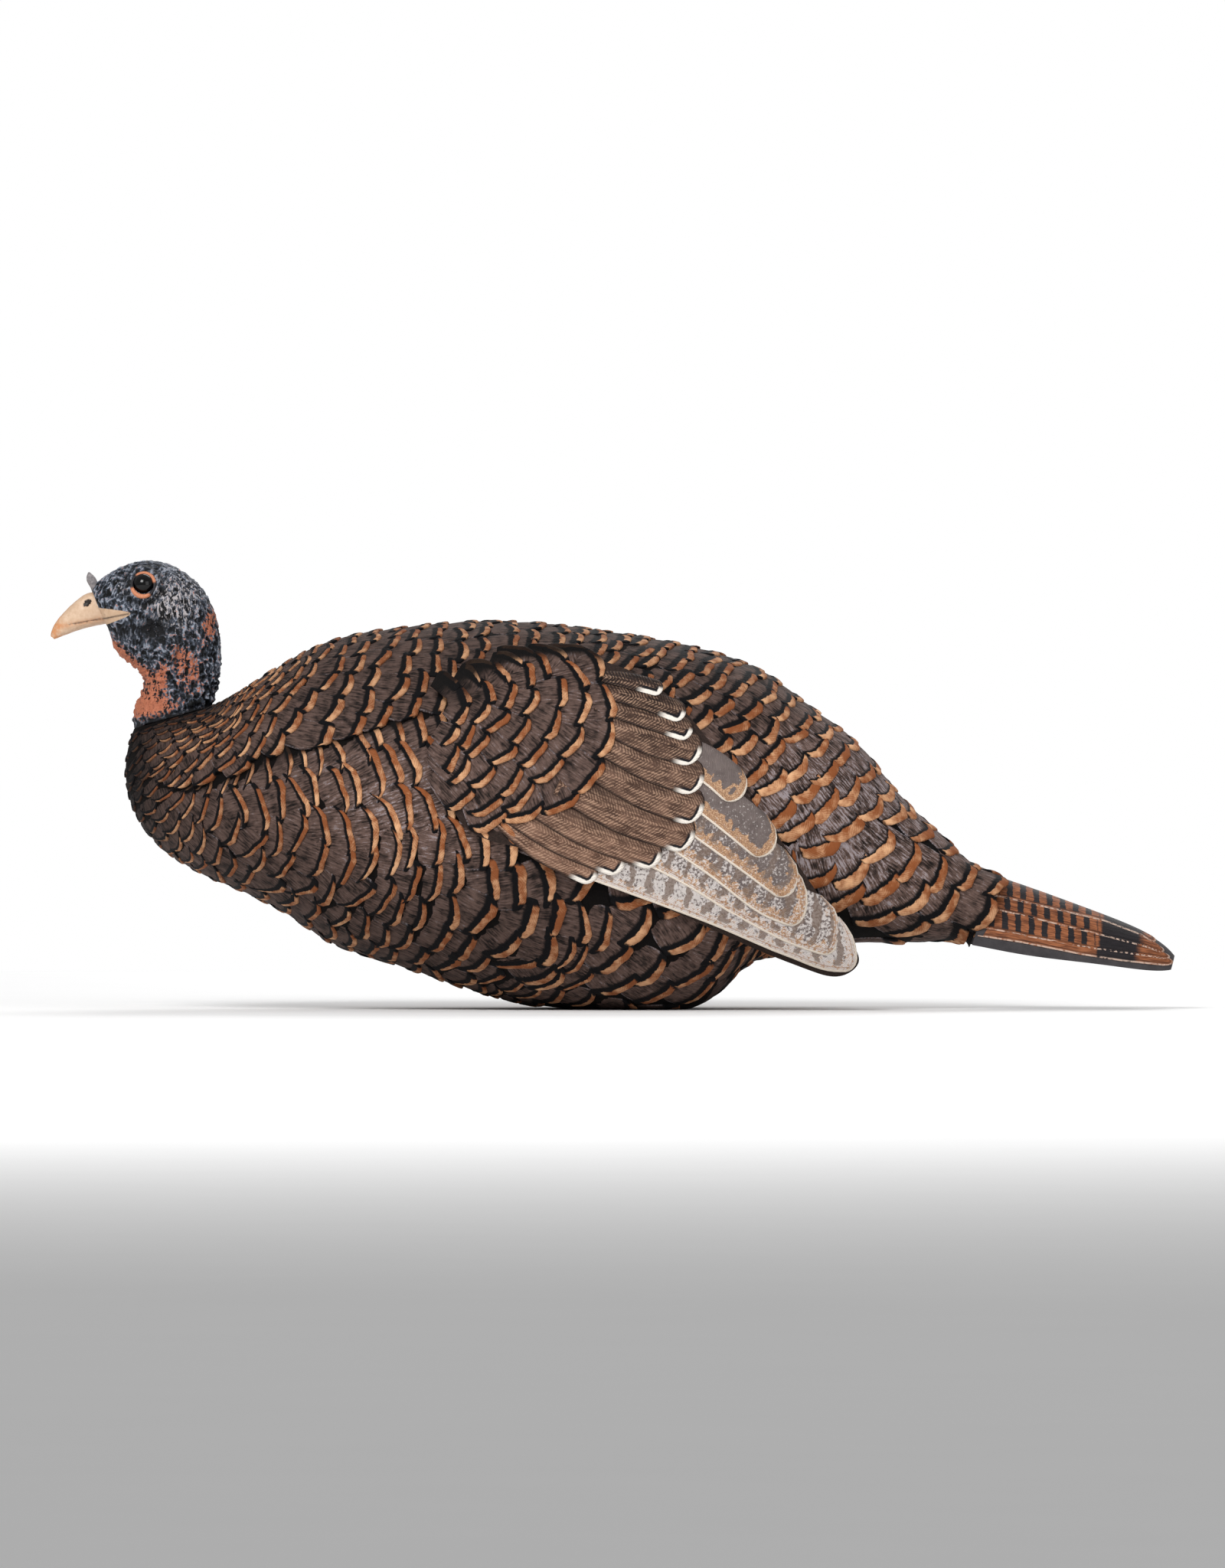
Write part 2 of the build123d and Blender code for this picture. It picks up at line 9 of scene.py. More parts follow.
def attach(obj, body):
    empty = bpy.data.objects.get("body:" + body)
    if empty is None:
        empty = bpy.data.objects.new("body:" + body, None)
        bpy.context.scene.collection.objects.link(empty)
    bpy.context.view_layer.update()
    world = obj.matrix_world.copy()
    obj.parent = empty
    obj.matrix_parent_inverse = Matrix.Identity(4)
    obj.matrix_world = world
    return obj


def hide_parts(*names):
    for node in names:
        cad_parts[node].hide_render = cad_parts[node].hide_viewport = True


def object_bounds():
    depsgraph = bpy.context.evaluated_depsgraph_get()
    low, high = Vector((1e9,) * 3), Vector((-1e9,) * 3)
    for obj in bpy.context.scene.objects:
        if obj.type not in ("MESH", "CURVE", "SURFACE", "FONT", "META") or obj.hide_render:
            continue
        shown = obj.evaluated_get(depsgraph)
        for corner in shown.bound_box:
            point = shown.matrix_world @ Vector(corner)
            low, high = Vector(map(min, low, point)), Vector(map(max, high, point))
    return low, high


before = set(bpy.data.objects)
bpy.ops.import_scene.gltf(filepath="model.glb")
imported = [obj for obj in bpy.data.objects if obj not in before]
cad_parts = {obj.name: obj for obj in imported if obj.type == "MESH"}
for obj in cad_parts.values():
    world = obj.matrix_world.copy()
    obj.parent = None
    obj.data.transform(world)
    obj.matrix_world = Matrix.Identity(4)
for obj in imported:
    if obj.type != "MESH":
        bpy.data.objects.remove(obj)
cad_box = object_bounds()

# Shapes are worked out in millimetres in the frame of the CAD model, and turned into metres
# when a mesh is made. The bill points along -X, the bird's left side faces -Y and +Z is up.
MM = 0.001
# Radius of a ring whose rays all miss, at the very end of a form.
LEAST_REACH = 0.6
SIDES = {"left": -1, "right": 1}
dice = np.random.default_rng(17)


# ---------------------------------------------------------------- materials
def paint(red, green, blue):
    """A display colour, 0 to 255, as the linear colour that shaders take."""
    linear = [((c / 255 + 0.055) / 1.055) ** 2.4 if c > 10 else c / 3294.6 for c in (red, green, blue)]
    return (*linear, 1.0)


class Term:
    """A value in a material, which can be added, multiplied and so on."""

    def __init__(self, shade, socket):
        self.shade, self.socket = shade, socket

    def __add__(self, other):
        return self.shade.math("ADD", self, other)

    def __radd__(self, other):
        return self.shade.math("ADD", other, self)

    def __sub__(self, other):
        return self.shade.math("SUBTRACT", self, other)

    def __rsub__(self, other):
        return self.shade.math("SUBTRACT", other, self)

    def __mul__(self, other):
        return self.shade.math("MULTIPLY", self, other)

    def __truediv__(self, other):
        return self.shade.math("DIVIDE", self, other)

    def __abs__(self):
        return self.shade.math("ABSOLUTE", self)


class Shade:
    """A node material, and short ways to add its nodes."""

    def __init__(self, name, specular=0.4, metallic=0.0):
        self.material = bpy.data.materials.new(name)
        self.material.use_nodes = True
        self.nodes = self.material.node_tree.nodes
        self.links = self.material.node_tree.links
        self.bsdf = self.nodes["Principled BSDF"]
        self.put(self.bsdf, {"Specular IOR Level": specular, "Metallic": metallic})
        in_metres = self.add("TexCoord", {}, "Object")
        self.place = self.add("VectorMath", {0: in_metres, "Scale": 1 / MM}, operation="SCALE")

    def put(self, node, values):
        """Sets or links some inputs of a node."""
        for key, value in values.items():
            if isinstance(value, Term):
                self.links.new(value.socket, node.inputs[key])
            else:
                node.inputs[key].default_value = value

    def add(self, kind, values, output=0, **settings):
        """Adds a node and returns one of its outputs."""
        node = self.nodes.new("ShaderNode" + kind)
        for name, value in settings.items():
            setattr(node, name, value)
        self.put(node, values)
        return Term(self, node.outputs[output])

    def attributes(self, *names):
        return [self.add("Attribute", {}, "Fac", attribute_name=name) for name in names]

    def math(self, operation, a, b=0.0):
        return self.add("Math", {0: a, 1: b}, operation=operation)

    def clamped(self, term):
        """The same value, held between 0 and 1."""
        term.socket.node.use_clamp = True
        return term

    def step(self, value, low, high):
        """0 below low, 1 above high, smooth between."""
        values = {"Value": value, "From Min": low, "From Max": high}
        return self.add("MapRange", values, interpolation_type="SMOOTHSTEP")

    def noise(self, size, where=None, detail=3.0):
        """Noise from 0 to 1, with features of about a size in millimetres."""
        values = {"Vector": where or self.place, "Scale": 1 / size, "Detail": detail, "Roughness": 0.55}
        return self.add("TexNoise", values, "Fac")

    def mix(self, share, a, b):
        return self.add("Mix", {"Factor": share, "A": a, "B": b}, "Result", data_type="RGBA")

    def finished(self, colour, roughness, height, depth, strength):
        """The material with its colour, roughness and relief: height from 0 to 1, depth in mm."""
        values = {"Strength": strength, "Distance": depth * MM, "Height": height}
        normal = self.add("Bump", values)
        self.put(self.bsdf, {"Base Color": colour, "Roughness": roughness, "Normal": normal})
        return self.material


def barbs(shade, spacing, slant):
    """Fine ridges from 0 to 1 that leave the shaft at a slant, wavering a little."""
    along, across = shade.attributes("along", "across")
    run = along + abs(across) * slant
    waver = shade.noise(5.0, detail=2.0) * 3.0
    turn = (run + waver) * (2 * math.pi / spacing)
    return (shade.math("SINE", turn) + 1.0) * 0.5


def brushed(shade, length, width):
    """Streaks from 0 to 1 that run along a feather."""
    along, across, pick = shade.attributes("along", "across", "pick")
    where = shade.add("CombineXYZ", {0: along / length, 1: across / width, 2: pick * 40.0})
    return shade.noise(1.0, where, detail=2.0)


def feather_paint():
    """Body feathers: brushed grey-brown field, black bar, copper tip with light dry-brushing,
    darker with the plumage's tone and painted shade, and black painted shadow under the fold.
    """
    shade = Shade("feather_paint", specular=0.12)
    tip, edge, pick, low, crease = shade.attributes("tip", "edge", "pick", "low", "crease")
    ridges = barbs(shade, 1.75, 0.9)
    lines = brushed(shade, 7.0, 1.15)
    cloud = shade.noise(8.0)
    grain = shade.noise(1.1, detail=4.0)
    worn = lines + (grain + cloud) * 0.5 - low * 0.3
    grooved = cloud * 0.6 + lines * 0.62
    field = shade.mix(shade.step(grooved, 0.4, 0.76), paint(21, 17, 16), paint(112, 90, 82))
    field = shade.mix(shade.step(worn, 1.03, 1.28) * 0.7, field, paint(160, 152, 156))
    # Darker where low is high: partly the plumage's own tone, partly painted shade.
    field = shade.mix(shade.clamped(low * 0.8), field, paint(17, 14, 14))
    wander = (shade.noise(3.0) - 0.5) * 0.14
    reach = tip + wander
    ends = abs(edge) + wander * 1.6
    end_at = 0.82 - low * 0.32
    inner = 1.0 - shade.step(ends, end_at, end_at + 0.12)
    thick = 0.23 - low * 0.1
    bar = 1.0 - shade.step(reach, thick, thick + 0.035)
    sides = shade.step(abs(edge), 0.9, 0.97) * shade.step(tip, 0.3, 0.45)
    sides = sides * shade.step(grain, 0.4, 0.6) * shade.clamped(0.6 - low * 0.6)
    faded = shade.step(low * 1.3 + pick * 0.5, 1.15, 1.5)
    copper = inner * bar * (1.0 - faded * 0.8)
    black_at = 0.33 + low * 0.1
    black = 1.0 - shade.step(reach, black_at, black_at + 0.11)
    streaks = shade.noise(7.0) + ridges * 0.08 + edge * 0.13
    light = shade.step(streaks + pick * 0.2, 0.48, 0.98)
    rust = shade.mix(light, paint(136, 78, 44), paint(222, 172, 130))
    # The copper is darker there too, with the same painted shade.
    rust = shade.mix(shade.clamped(low * 0.55), rust, paint(84, 54, 40))
    colour = shade.mix(copper, shade.mix(black, field, paint(10, 9, 11)), rust)
    colour = shade.mix(sides, colour, paint(150, 144, 150))
    # Painted shadow: black under the fold's overhang and along the top of the shoulder patch.
    colour = shade.mix(crease * 0.96, colour, paint(12, 10, 10))
    return shade.finished(colour, 0.8, lines + grain * 0.7, 0.4, 0.9)


def plain_paint(name, dark, light, size, roughness, depth, metallic=0.0, specular=0.3):
    """A mottled moulded, rubber or metal finish with a fine grain."""
    shade = Shade(name, specular, metallic)
    grain = shade.noise(0.5, detail=2.0)
    colour = shade.mix(shade.noise(size), paint(*dark), paint(*light))
    return shade.finished(colour, roughness - 0.08 + grain * 0.16, grain, depth, 1.0)


# ---------------------------------------------------------------- fields
def ramp(value, start, end):
    """0 at a start and 1 at an end, even between them and held beyond them."""
    return np.clip((value - start) / (end - start), 0, 1)


def bell(value, width):
    """1 where a value is 0, falling to 0.37 a width away."""
    return np.exp(-(value / width) ** 2)


def spot(x, z, middle, radii, turn=0.0):
    """A soft oval spot in the side view: 1 in the middle, 0.37 at its radii."""
    c, s = math.cos(math.radians(turn)), math.sin(math.radians(turn))
    u = ((x - middle[0]) * c + (z - middle[1]) * s) / radii[0]
    v = (-(x - middle[0]) * s + (z - middle[1]) * c) / radii[1]
    return np.exp(-(u * u + v * v))


def axes_of(tilt):
    """The way up and the way along, level with the centre plane, for a tilt from level."""
    turn = math.radians(tilt)
    up = np.array((math.cos(turn), 0, math.sin(turn)))
    return up, np.array((-up[2], 0, up[0]))


# ---------------------------------------------------------------- meshes
def make_piece(name, points, faces, material, body, attributes=None, uv=None):
    """A mesh object from points in millimetres, riding on a body."""
    mesh = bpy.data.meshes.new(name)
    mesh.from_pydata((np.asarray(points) * MM).tolist(), [], faces)
    for key, values in (attributes or {}).items():
        layer = mesh.attributes.new(key, "FLOAT", "POINT")
        layer.data.foreach_set("value", np.asarray(values, np.float32).ravel())
    if uv is not None:
        layer = mesh.uv_layers.new(name="OFBake")
        layer.data.foreach_set("uv", np.asarray(uv, np.float32).ravel())
    mesh.polygons.foreach_set("use_smooth", [True] * len(mesh.polygons))
    mesh.materials.append(material)
    mesh.update()
    piece = bpy.data.objects.new(name, mesh)
    bpy.context.scene.collection.objects.link(piece)
    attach(piece, body)
    return piece


def tree_of(*names):
    """A search tree of the faces of some CAD nodes, in millimetres."""
    points, faces = [], []
    for name in names:
        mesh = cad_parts[name].data
        first = len(points)
        points += [v.co / MM for v in mesh.vertices]
        faces += [[first + i for i in p.vertices] for p in mesh.polygons]
    return BVHTree.FromPolygons(points, faces)


def outermost(tree, start, direction, reach):
    """The last place where a ray meets a tree within its reach."""
    found, at, left = None, start.copy(), reach
    while left > 0:
        hit = tree.ray_cast(at, direction, left)[0]
        if hit is None:
            break
        found = hit
        at = hit + direction * 0.02
        left = reach - (at - start).length
    return found


def length_along(points):
    """How far along a line of points each of them is."""
    return np.concatenate([[0], np.cumsum(np.linalg.norm(np.diff(points, axis=0), axis=1))])


def along_guide(guide, count):
    """Rows of a guide, filled in smoothly to a number of rows."""
    guide = np.array(guide, float)
    gaps = np.linalg.norm(np.diff(guide[:, :2], axis=0), axis=1)
    at = np.concatenate([[0], np.cumsum(np.maximum(gaps, 4.0))])
    slopes = np.gradient(guide, at, axis=0)
    rows = []
    for d in np.linspace(0, at[-1], count):
        i = min(np.searchsorted(at, d, side="right") - 1, len(at) - 2)
        gap = at[i + 1] - at[i]
        s = (d - at[i]) / gap
        rows.append(
            guide[i] * (1 + 2 * s) * (1 - s) ** 2 + slopes[i] * gap * s * (1 - s) ** 2
            + guide[i + 1] * s * s * (3 - 2 * s) + slopes[i + 1] * gap * s * s * (s - 1)
        )
    return np.array(rows)


def softened(grid, passes=1):
    """A grid of values averaged with its neighbours along both ways; the second way is closed."""
    for _ in range(passes):
        padded = np.concatenate([grid[:1], grid, grid[-1:]])
        grid = 0.25 * padded[:-2] + 0.5 * grid + 0.25 * padded[2:]
        grid = 0.25 * np.roll(grid, 1, 1) + 0.5 * grid + 0.25 * np.roll(grid, -1, 1)
    return grid


def grid_faces(rows, columns, closed=True):
    """Quads of a grid of points; the columns close into a ring."""
    faces = []
    for i in range(rows - 1):
        row, after = i * columns, (i + 1) * columns
        for j in range(columns if closed else columns - 1):
            k = (j + 1) % columns
            faces.append([row + j, row + k, after + k, after + j])
    return faces


def capped(grid):
    """Faces of rings of points, closed at both ends."""
    rows, columns = grid.shape[:2]
    last = (rows - 1) * columns
    return grid_faces(rows, columns) + [list(range(columns))[::-1], [last + j for j in range(columns)]]


def grid_normals(grid, closed=True):
    """Outward unit normals of a grid of points around the body."""
    along = np.gradient(grid, axis=0)
    across = np.roll(grid, -1, 1) - np.roll(grid, 1, 1) if closed else np.gradient(grid, axis=1)
    normal = np.cross(along, across)
    return normal / np.maximum(np.linalg.norm(normal, axis=2, keepdims=True), 1e-9)


def reaches_around(tree, middle, up, turns, reach):
    """How far out a tree lies from a middle at each turn from up, filled in where rays miss it."""
    found = np.full(len(turns), math.nan)
    for j, turn in enumerate(turns):
        ray = Vector(up * math.cos(turn)) + Vector((0, -math.sin(turn), 0))
        hit = outermost(tree, Vector(middle), ray, reach)
        if hit is not None:
            found[j] = (hit - Vector(middle)).length
    good = ~np.isnan(found)
    if not good.any():
        return np.full(len(turns), LEAST_REACH)
    return np.interp(np.arange(len(turns)), np.flatnonzero(good), found[good])


def ring_points(middle, up, turns, reaches):
    """A ring of points about a middle; the turns start at up and go round by the left side."""
    turns = np.asarray(turns)[:, None]
    way = up * np.cos(turns) - np.array((0, 1, 0)) * np.sin(turns)
    return middle + np.asarray(reaches)[:, None] * way


# ---------------------------------------------------------------- form of the body
# Middle of the body from the collar to the rump: x, z, tilt of the cross-section from
# level in degrees, and how far out a ray looks for the skin.
BODY_MIDDLE = [
    (-273.97, 180.63, 15.7, 30), (-270, 173, 31.6, 50), (-256, 166, 45, 66), (-233, 162, 53, 92),
    (-199, 157, 57.5, 112), (-156, 150, 61.5, 122), (-110, 137, 66.5, 135), (-65, 127, 72.5, 140),
    (-23, 118, 76, 140), (20, 112, 80, 140), (57, 108, 82, 135), (79, 108, 80.5, 130),
    (97, 109, 78.5, 120), (120, 105, 75.5, 105), (149, 95, 76, 92), (177, 82, 74, 75),
    (204, 70.5, 72.5, 60), (228.8, 61.7, 73.4, 50),
]
BODY_ROWS, HALF_COLUMNS = 170, 64
# Rows that run on past the rump, for the feathers that overhang it.
PAST_RUMP = 5
BODY_COLUMNS = 2 * HALF_COLUMNS


def body_grid(names):
    """Points on the outside of the named CAD nodes, in rows from the collar to the rump. Columns
    start on the back and go round by the left side."""
    tree = tree_of(*names)
    grid = np.zeros((BODY_ROWS, BODY_COLUMNS, 3))
    steps = np.clip(np.arange(HALF_COLUMNS + 1), 0.02, HALF_COLUMNS - 0.02)
    half_turns = math.pi * steps / HALF_COLUMNS
    turns = 2 * math.pi * np.arange(BODY_COLUMNS) / BODY_COLUMNS
    columns = np.arange(BODY_COLUMNS)
    for i, (x, z, tilt, reach) in enumerate(along_guide(BODY_MIDDLE, BODY_ROWS)):
        middle, up = np.array((x, 0, z)), axes_of(tilt)[0]
        reaches = reaches_around(tree, middle, up, half_turns, reach)
        grid[i] = ring_points(middle, up, turns, reaches[np.minimum(columns, BODY_COLUMNS - columns)])
    collar = grid[0].copy()
    grid = softened(grid, 2)
    grid[0] = collar
    step = (grid[-1] - grid[-7]) / 6
    past = [grid[-1] + 1.1 * k * step for k in range(1, PAST_RUMP + 1)]
    return np.concatenate([grid, past])


def thin_plate(rows):
    """A smooth function of (x, z) that has each row's value along the points of the row."""
    points = np.array([p for _, line in rows for p in line], float) / 100
    values = np.array([value for value, line in rows for _ in line], float)

    def kernel(square):
        return square * np.log(square + 1e-9)

    count = len(points)
    system = np.zeros((count + 3, count + 3))
    system[:count, :count] = kernel(((points[:, None] - points[None]) ** 2).sum(2))
    system[:count, :count] += 1e-3 * np.eye(count)
    system[:count, count] = 1
    system[:count, count + 1:] = points
    system[count:, :count] = system[:count, count:].T
    weights = np.linalg.solve(system, np.concatenate([values, np.zeros(3)]))

    def value_at(x, z):
        where = np.stack([np.ravel(x), np.ravel(z)], 1) / 100
        square = ((where[:, None] - points[None]) ** 2).sum(2)
        found = kernel(square) @ weights[:count] + weights[count] + where @ weights[count + 1:]
        return found.reshape(np.shape(x))

    return value_at


# Rows of feathers, by their distance from the collar along the back, as side views (x, z).
# Upper rows: mantle, back and rump.
UPPER_ROWS = [
    (0, [(-250, 187.5), (-274, 181), (-298, 174)]),
    (17, [(-238, 193), (-272, 172), (-303, 153)]),
    (45, [(-214, 208), (-255, 165), (-298, 124)]),
    (77, [(-186, 224), (-214, 190), (-243, 150), (-280, 100)]),
    (112, [(-150, 234), (-168, 200), (-186, 160)]),
    (153, [(-108, 239), (-118, 205), (-128, 180)]),
    (196, [(-65, 240), (-68, 220)]),
    (231, [(-30, 238), (-32, 222)]),
    (267, [(5, 233), (-4, 216)]),
    (302, [(40, 227), (24, 207)]),
    (335, [(72, 218), (54, 200), (38, 186)]),
    (361, [(96, 208), (75, 186), (56, 168)]),
    (385, [(115, 194), (92, 168), (70, 148)]),
    (415, [(139, 176), (112, 148), (88, 126)]),
    (449, [(163, 151), (138, 122), (106, 98)]),
    (487, [(188, 122), (168, 92), (140, 72), (116, 62)]),
    (521, [(213, 99), (198, 72), (178, 55), (148, 45)]),
    (549, [(236, 85), (228, 62), (212, 47), (190, 40)]),
    (440, [(102, 33)]),
    (415, [(80, 25)]),
]
# Lower rows: breast, side and belly, down to the heel behind the belly.
LOWER_ROWS = [
    (17, [(-272, 172), (-303, 153)]),
    (45, [(-255, 165), (-298, 124)]),
    (77, [(-252, 141), (-262, 122), (-280, 100)]),
    (110, [(-232, 146), (-227, 122), (-236, 103), (-258, 86)]),
    (145, [(-205, 158), (-195, 128), (-199, 100), (-225, 70)]),
    (180, [(-185, 176), (-180, 163), (-160, 115), (-162, 85), (-190, 52)]),
    (215, [(-157, 190), (-150, 173), (-128, 125), (-128, 85), (-158, 35)]),
    (250, [(-124, 198), (-119, 182), (-112, 165), (-94, 120), (-94, 75), (-126, 22)]),
    (278, [(-90, 190), (-84, 165)]),
    (292, [(-40, 112), (-34, 75), (-38, 40), (-84, 9)]),
    (305, [(-22, 90), (-18, 60), (-30, 27)]),
    (318, [(0, 66), (-7, 48), (-26, 26)]),
    (331, [(19, 56), (5, 41), (-21, 20), (-55, 3)]),
    (344, [(38, 49), (24, 34), (0, 18)]),
    (357, [(60, 41), (45, 26), (22, 11), (-15, 1)]),
    (372, [(70, 34), (58, 17), (36, 4)]),
    (395, [(82, 32), (72, 16)]),
    (425, [(96, 32)]),
    (460, [(124, 38)]),
    (500, [(160, 44)]),
    (292, [(0, 110), (30, 100)]),
]
# Where the upper rows meet the lower ones: the fold beside the breast, and on under the wing.
FOLD = [
    (-330, 142), (-262, 138), (-236, 144.5), (-218, 153), (-203, 160), (-184, 163), (-158, 171),
    (-144, 175.5), (-114, 184.5), (-60, 172), (0, 128), (60, 72), (92, 36), (104, 24), (240, -20),
]


def fold_height(x):
    """Height of the fold at a place along the body."""
    fold_x, fold_z = np.array(FOLD).T
    return np.interp(x, fold_x, fold_z)


def fold_strength(x):
    """How marked the fold is: from 0 at the collar to 1 beside the breast, and 0 under the wing."""
    return ramp(x, -284, -260) * ramp(x, -108, -116)


def row_gap(level):
    """Distance between rows of feathers, by distance from the collar."""
    return 6.0 + 8.2 * ramp(level, 0, 130) ** 0.8 + 4.3 * ramp(level, 360, 510)


def levels_between(first, last):
    """Distances from the collar of the rows of feathers of a tract."""
    level = first
    while level < last:
        yield level
        level += row_gap(level)


def row_line(grid, heights, level):
    """The line on the body where a field has a value: one point for each column."""
    rows = np.arange(len(grid))
    line = np.full((grid.shape[1], 3), np.nan)
    for j in range(grid.shape[1]):
        rising = np.maximum.accumulate(heights[:, j]) + rows * 1e-6
        if rising[0] <= level <= rising[-1]:
            at = np.interp(level, rising, rows)
            for axis in range(3):
                line[j, axis] = np.interp(at, rows, grid[:, j, axis])
    return line


def runs_of(keep):
    """Stretches of a closed ring of flags that are true, as lists of places."""
    count = len(keep)
    if keep.all():
        return [list(range(count)) + [0]]
    start = int(np.argmin(keep))
    runs, current = [], []
    for i in range(start, start + count + 1):
        if keep[i % count]:
            current.append(i % count)
        elif current:
            runs.append(current)
            current = []
    return [run for run in runs if len(run) > 2]


def anchors_on(line, spread, run, pitch, shift, more=0):
    """Evenly spaced places along a stretch of a row, each with the way along the row, the
    spacing, and the distance to the row before. more is how many are squeezed in."""
    points, spread = line[run], spread[run]
    at = length_along(points)
    count = max(int(round(at[-1] / pitch)), 1) + more
    for k in range(count):
        d = (k + shift) / count * at[-1]
        behind, place, ahead = (
            np.array([np.interp(s, at, points[:, axis]) for axis in range(3)])
            for s in (max(d - 3, 0), d, min(d + 3, at[-1]))
        )
        way = (ahead - behind) / max(np.linalg.norm(ahead - behind), 1e-9)
        yield place, way, at[-1] / count, float(np.interp(d, at, spread))


# ---------------------------------------------------------------- blades
# Shares of a feather's length, from its root to its tip, and of its half width.
FEATHER_ALONG = np.array([0, 0.22, 0.42, 0.56, 0.66, 0.745, 0.80, 0.86, 0.93, 0.98, 1.0])
FEATHER_ACROSS = np.array([-1, -0.93, -0.7, -0.38, 0, 0.38, 0.7, 0.93, 1])
# Share of a feather's length that the feathers over it hide.
FEATHER_HIDDEN = 0.3


class Blades:
    """Thin closed blades gathered into one mesh, each with its own patch of the texture."""

    def __init__(self):
        self.points, self.faces, self.loops, self.sizes = [], [], [], []
        self.values = {}
        self.count = 0

    def add(self, top, bottom, values, hidden=0.0):
        """top and bottom are grids of points from the root to the tip. hidden is the share of the
        length that lies under other blades and so needs little of the texture."""
        rows, columns = top.shape[:2]
        size = rows * columns
        first = self.count
        self.points += [top.reshape(-1, 3), bottom.reshape(-1, 3)]
        self.count += 2 * size
        for key, value in values.items():
            value = np.broadcast_to(value, (rows, columns)).ravel()
            self.values.setdefault(key, []).append(np.concatenate([value, value]))
        share_v = np.linspace(0, 1, rows)
        if hidden:
            share_v = np.interp(share_v, (0, hidden, 1), (0, 0.1, 1))
        u = np.tile(np.linspace(0.05, 0.95, columns), (rows, 1))
        v = np.tile((0.18 + 0.76 * share_v)[:, None], (1, columns))
        low_v = np.tile((0.02 + 0.09 * np.linspace(0, 1, rows))[:, None], (1, columns))
        for i in range(rows - 1):
            for j in range(columns - 1):
                corners = [(i, j), (i, j + 1), (i + 1, j + 1), (i + 1, j)]
                self.faces.append([first + a * columns + b for a, b in corners])
                self.loops += [(u[c], v[c]) for c in corners]
                self.faces.append([first + size + a * columns + b for a, b in corners[::-1]])
                self.loops += [(u[c], low_v[c]) for c in corners[::-1]]
        ring = [(0, j) for j in range(columns - 1)] + [(i, columns - 1) for i in range(rows - 1)]
        ring += [(rows - 1, j) for j in range(columns - 1, 0, -1)]
        ring += [(i, 0) for i in range(rows - 1, 0, -1)]
        middle = np.array([0.5, 0.56])
        for a, b in zip(ring, ring[1:] + ring[:1]):
            start, end = (first + p[0] * columns + p[1] for p in (a, b))
            self.faces.append([end, start, size + start, size + end])
            near = [np.array([u[b], v[b]]), np.array([u[a], v[a]])]
            far = [p + 0.045 * (p - middle) for p in near[::-1]]
            self.loops += [tuple(p) for p in near + far]
        length = length_along(top[:, columns // 2])[-1] * (1 - 0.9 * hidden)
        width = length_along(top[rows // 2])[-1]
        self.sizes.append((width, length * 1.3, (rows - 1) * (columns - 1) * 8 + len(ring) * 4))

    def patches(self):
        """A place in the texture for each blade: rows of patches, tallest first."""
        order = sorted(range(len(self.sizes)), key=lambda i: -self.sizes[i][1])
        side = math.sqrt(sum(w * h for w, h, _ in self.sizes)) * 1.01
        while True:
            places, x, y, tall = {}, 0.0, 0.0, 0.0
            for i in order:
                width, height, _ = self.sizes[i]
                if x + width > side:
                    x, y, tall = 0.0, y + tall, 0.0
                places[i] = (x, y, width, height)
                x += width
                tall = max(tall, height)
            if y + tall <= side:
                return [np.array(places[i]) / side for i in range(len(self.sizes))]
            side *= 1.02

    def mirrored(self):
        """The same blades on the other side of the centre plane."""
        other = Blades()
        other.points = [points * (1, -1, 1) for points in self.points]
        other.values, other.sizes = self.values, self.sizes
        first = 0
        for face in self.faces:
            other.faces.append(face[::-1])
            other.loops += self.loops[first:first + len(face)][::-1]
            first += len(face)
        return other

    def piece(self, name, material, body, slot):
        """One mesh of all the blades, each with its patch of the texture."""
        uv = np.array(self.loops)
        first = 0
        for (x, y, width, height), (_, _, loops) in zip(self.patches(), self.sizes):
            uv[first:first + loops] = uv[first:first + loops] * (width, height) + (x, y)
            first += loops
        points = np.concatenate(self.points)
        values = {key: np.concatenate(parts) for key, parts in self.values.items()}
        make_piece(name, points, self.faces, material, body, values, uv)


def on_skin(tree, points):
    """Nearest places on the skin to a grid of points, and the outward normals there."""
    shape = points.shape
    places, normals = np.empty((points.size // 3, 3)), np.empty((points.size // 3, 3))
    for k, point in enumerate(points.reshape(-1, 3)):
        place, normal, _, _ = tree.find_nearest(Vector(point))
        places[k] = place
        normals[k] = normal
    return places.reshape(shape), normals.reshape(shape)


def tip_cut(across, kind):
    """How far the end of a feather falls back at a share of its half width, in half widths."""
    far = np.abs(across)
    if kind == "round":
        return 0.5 * far ** 2.4
    return 0.05 * far ** 2 + 0.34 * ramp(far, 0.5, 1.0) ** 1.3


def plumage_tone_and_shade(x, z):
    """How dark the body feathers are painted: most on the breast, back and belly, 0 on the side,
    and less than 0, for frosted, on the rump. This is partly the plumage's own tone and partly
    painted shade, as on the darker underside."""
    side = spot(x, z, (-105, 128), (100, 46))
    rump = spot(x, z, (142, 116), (92, 70))
    belly = spot(x, z, (5, 30), (70, 45))
    front = bell(x + 304, 20)
    return 0.58 - 0.65 * side - rump - 0.2 * belly + 0.6 * front


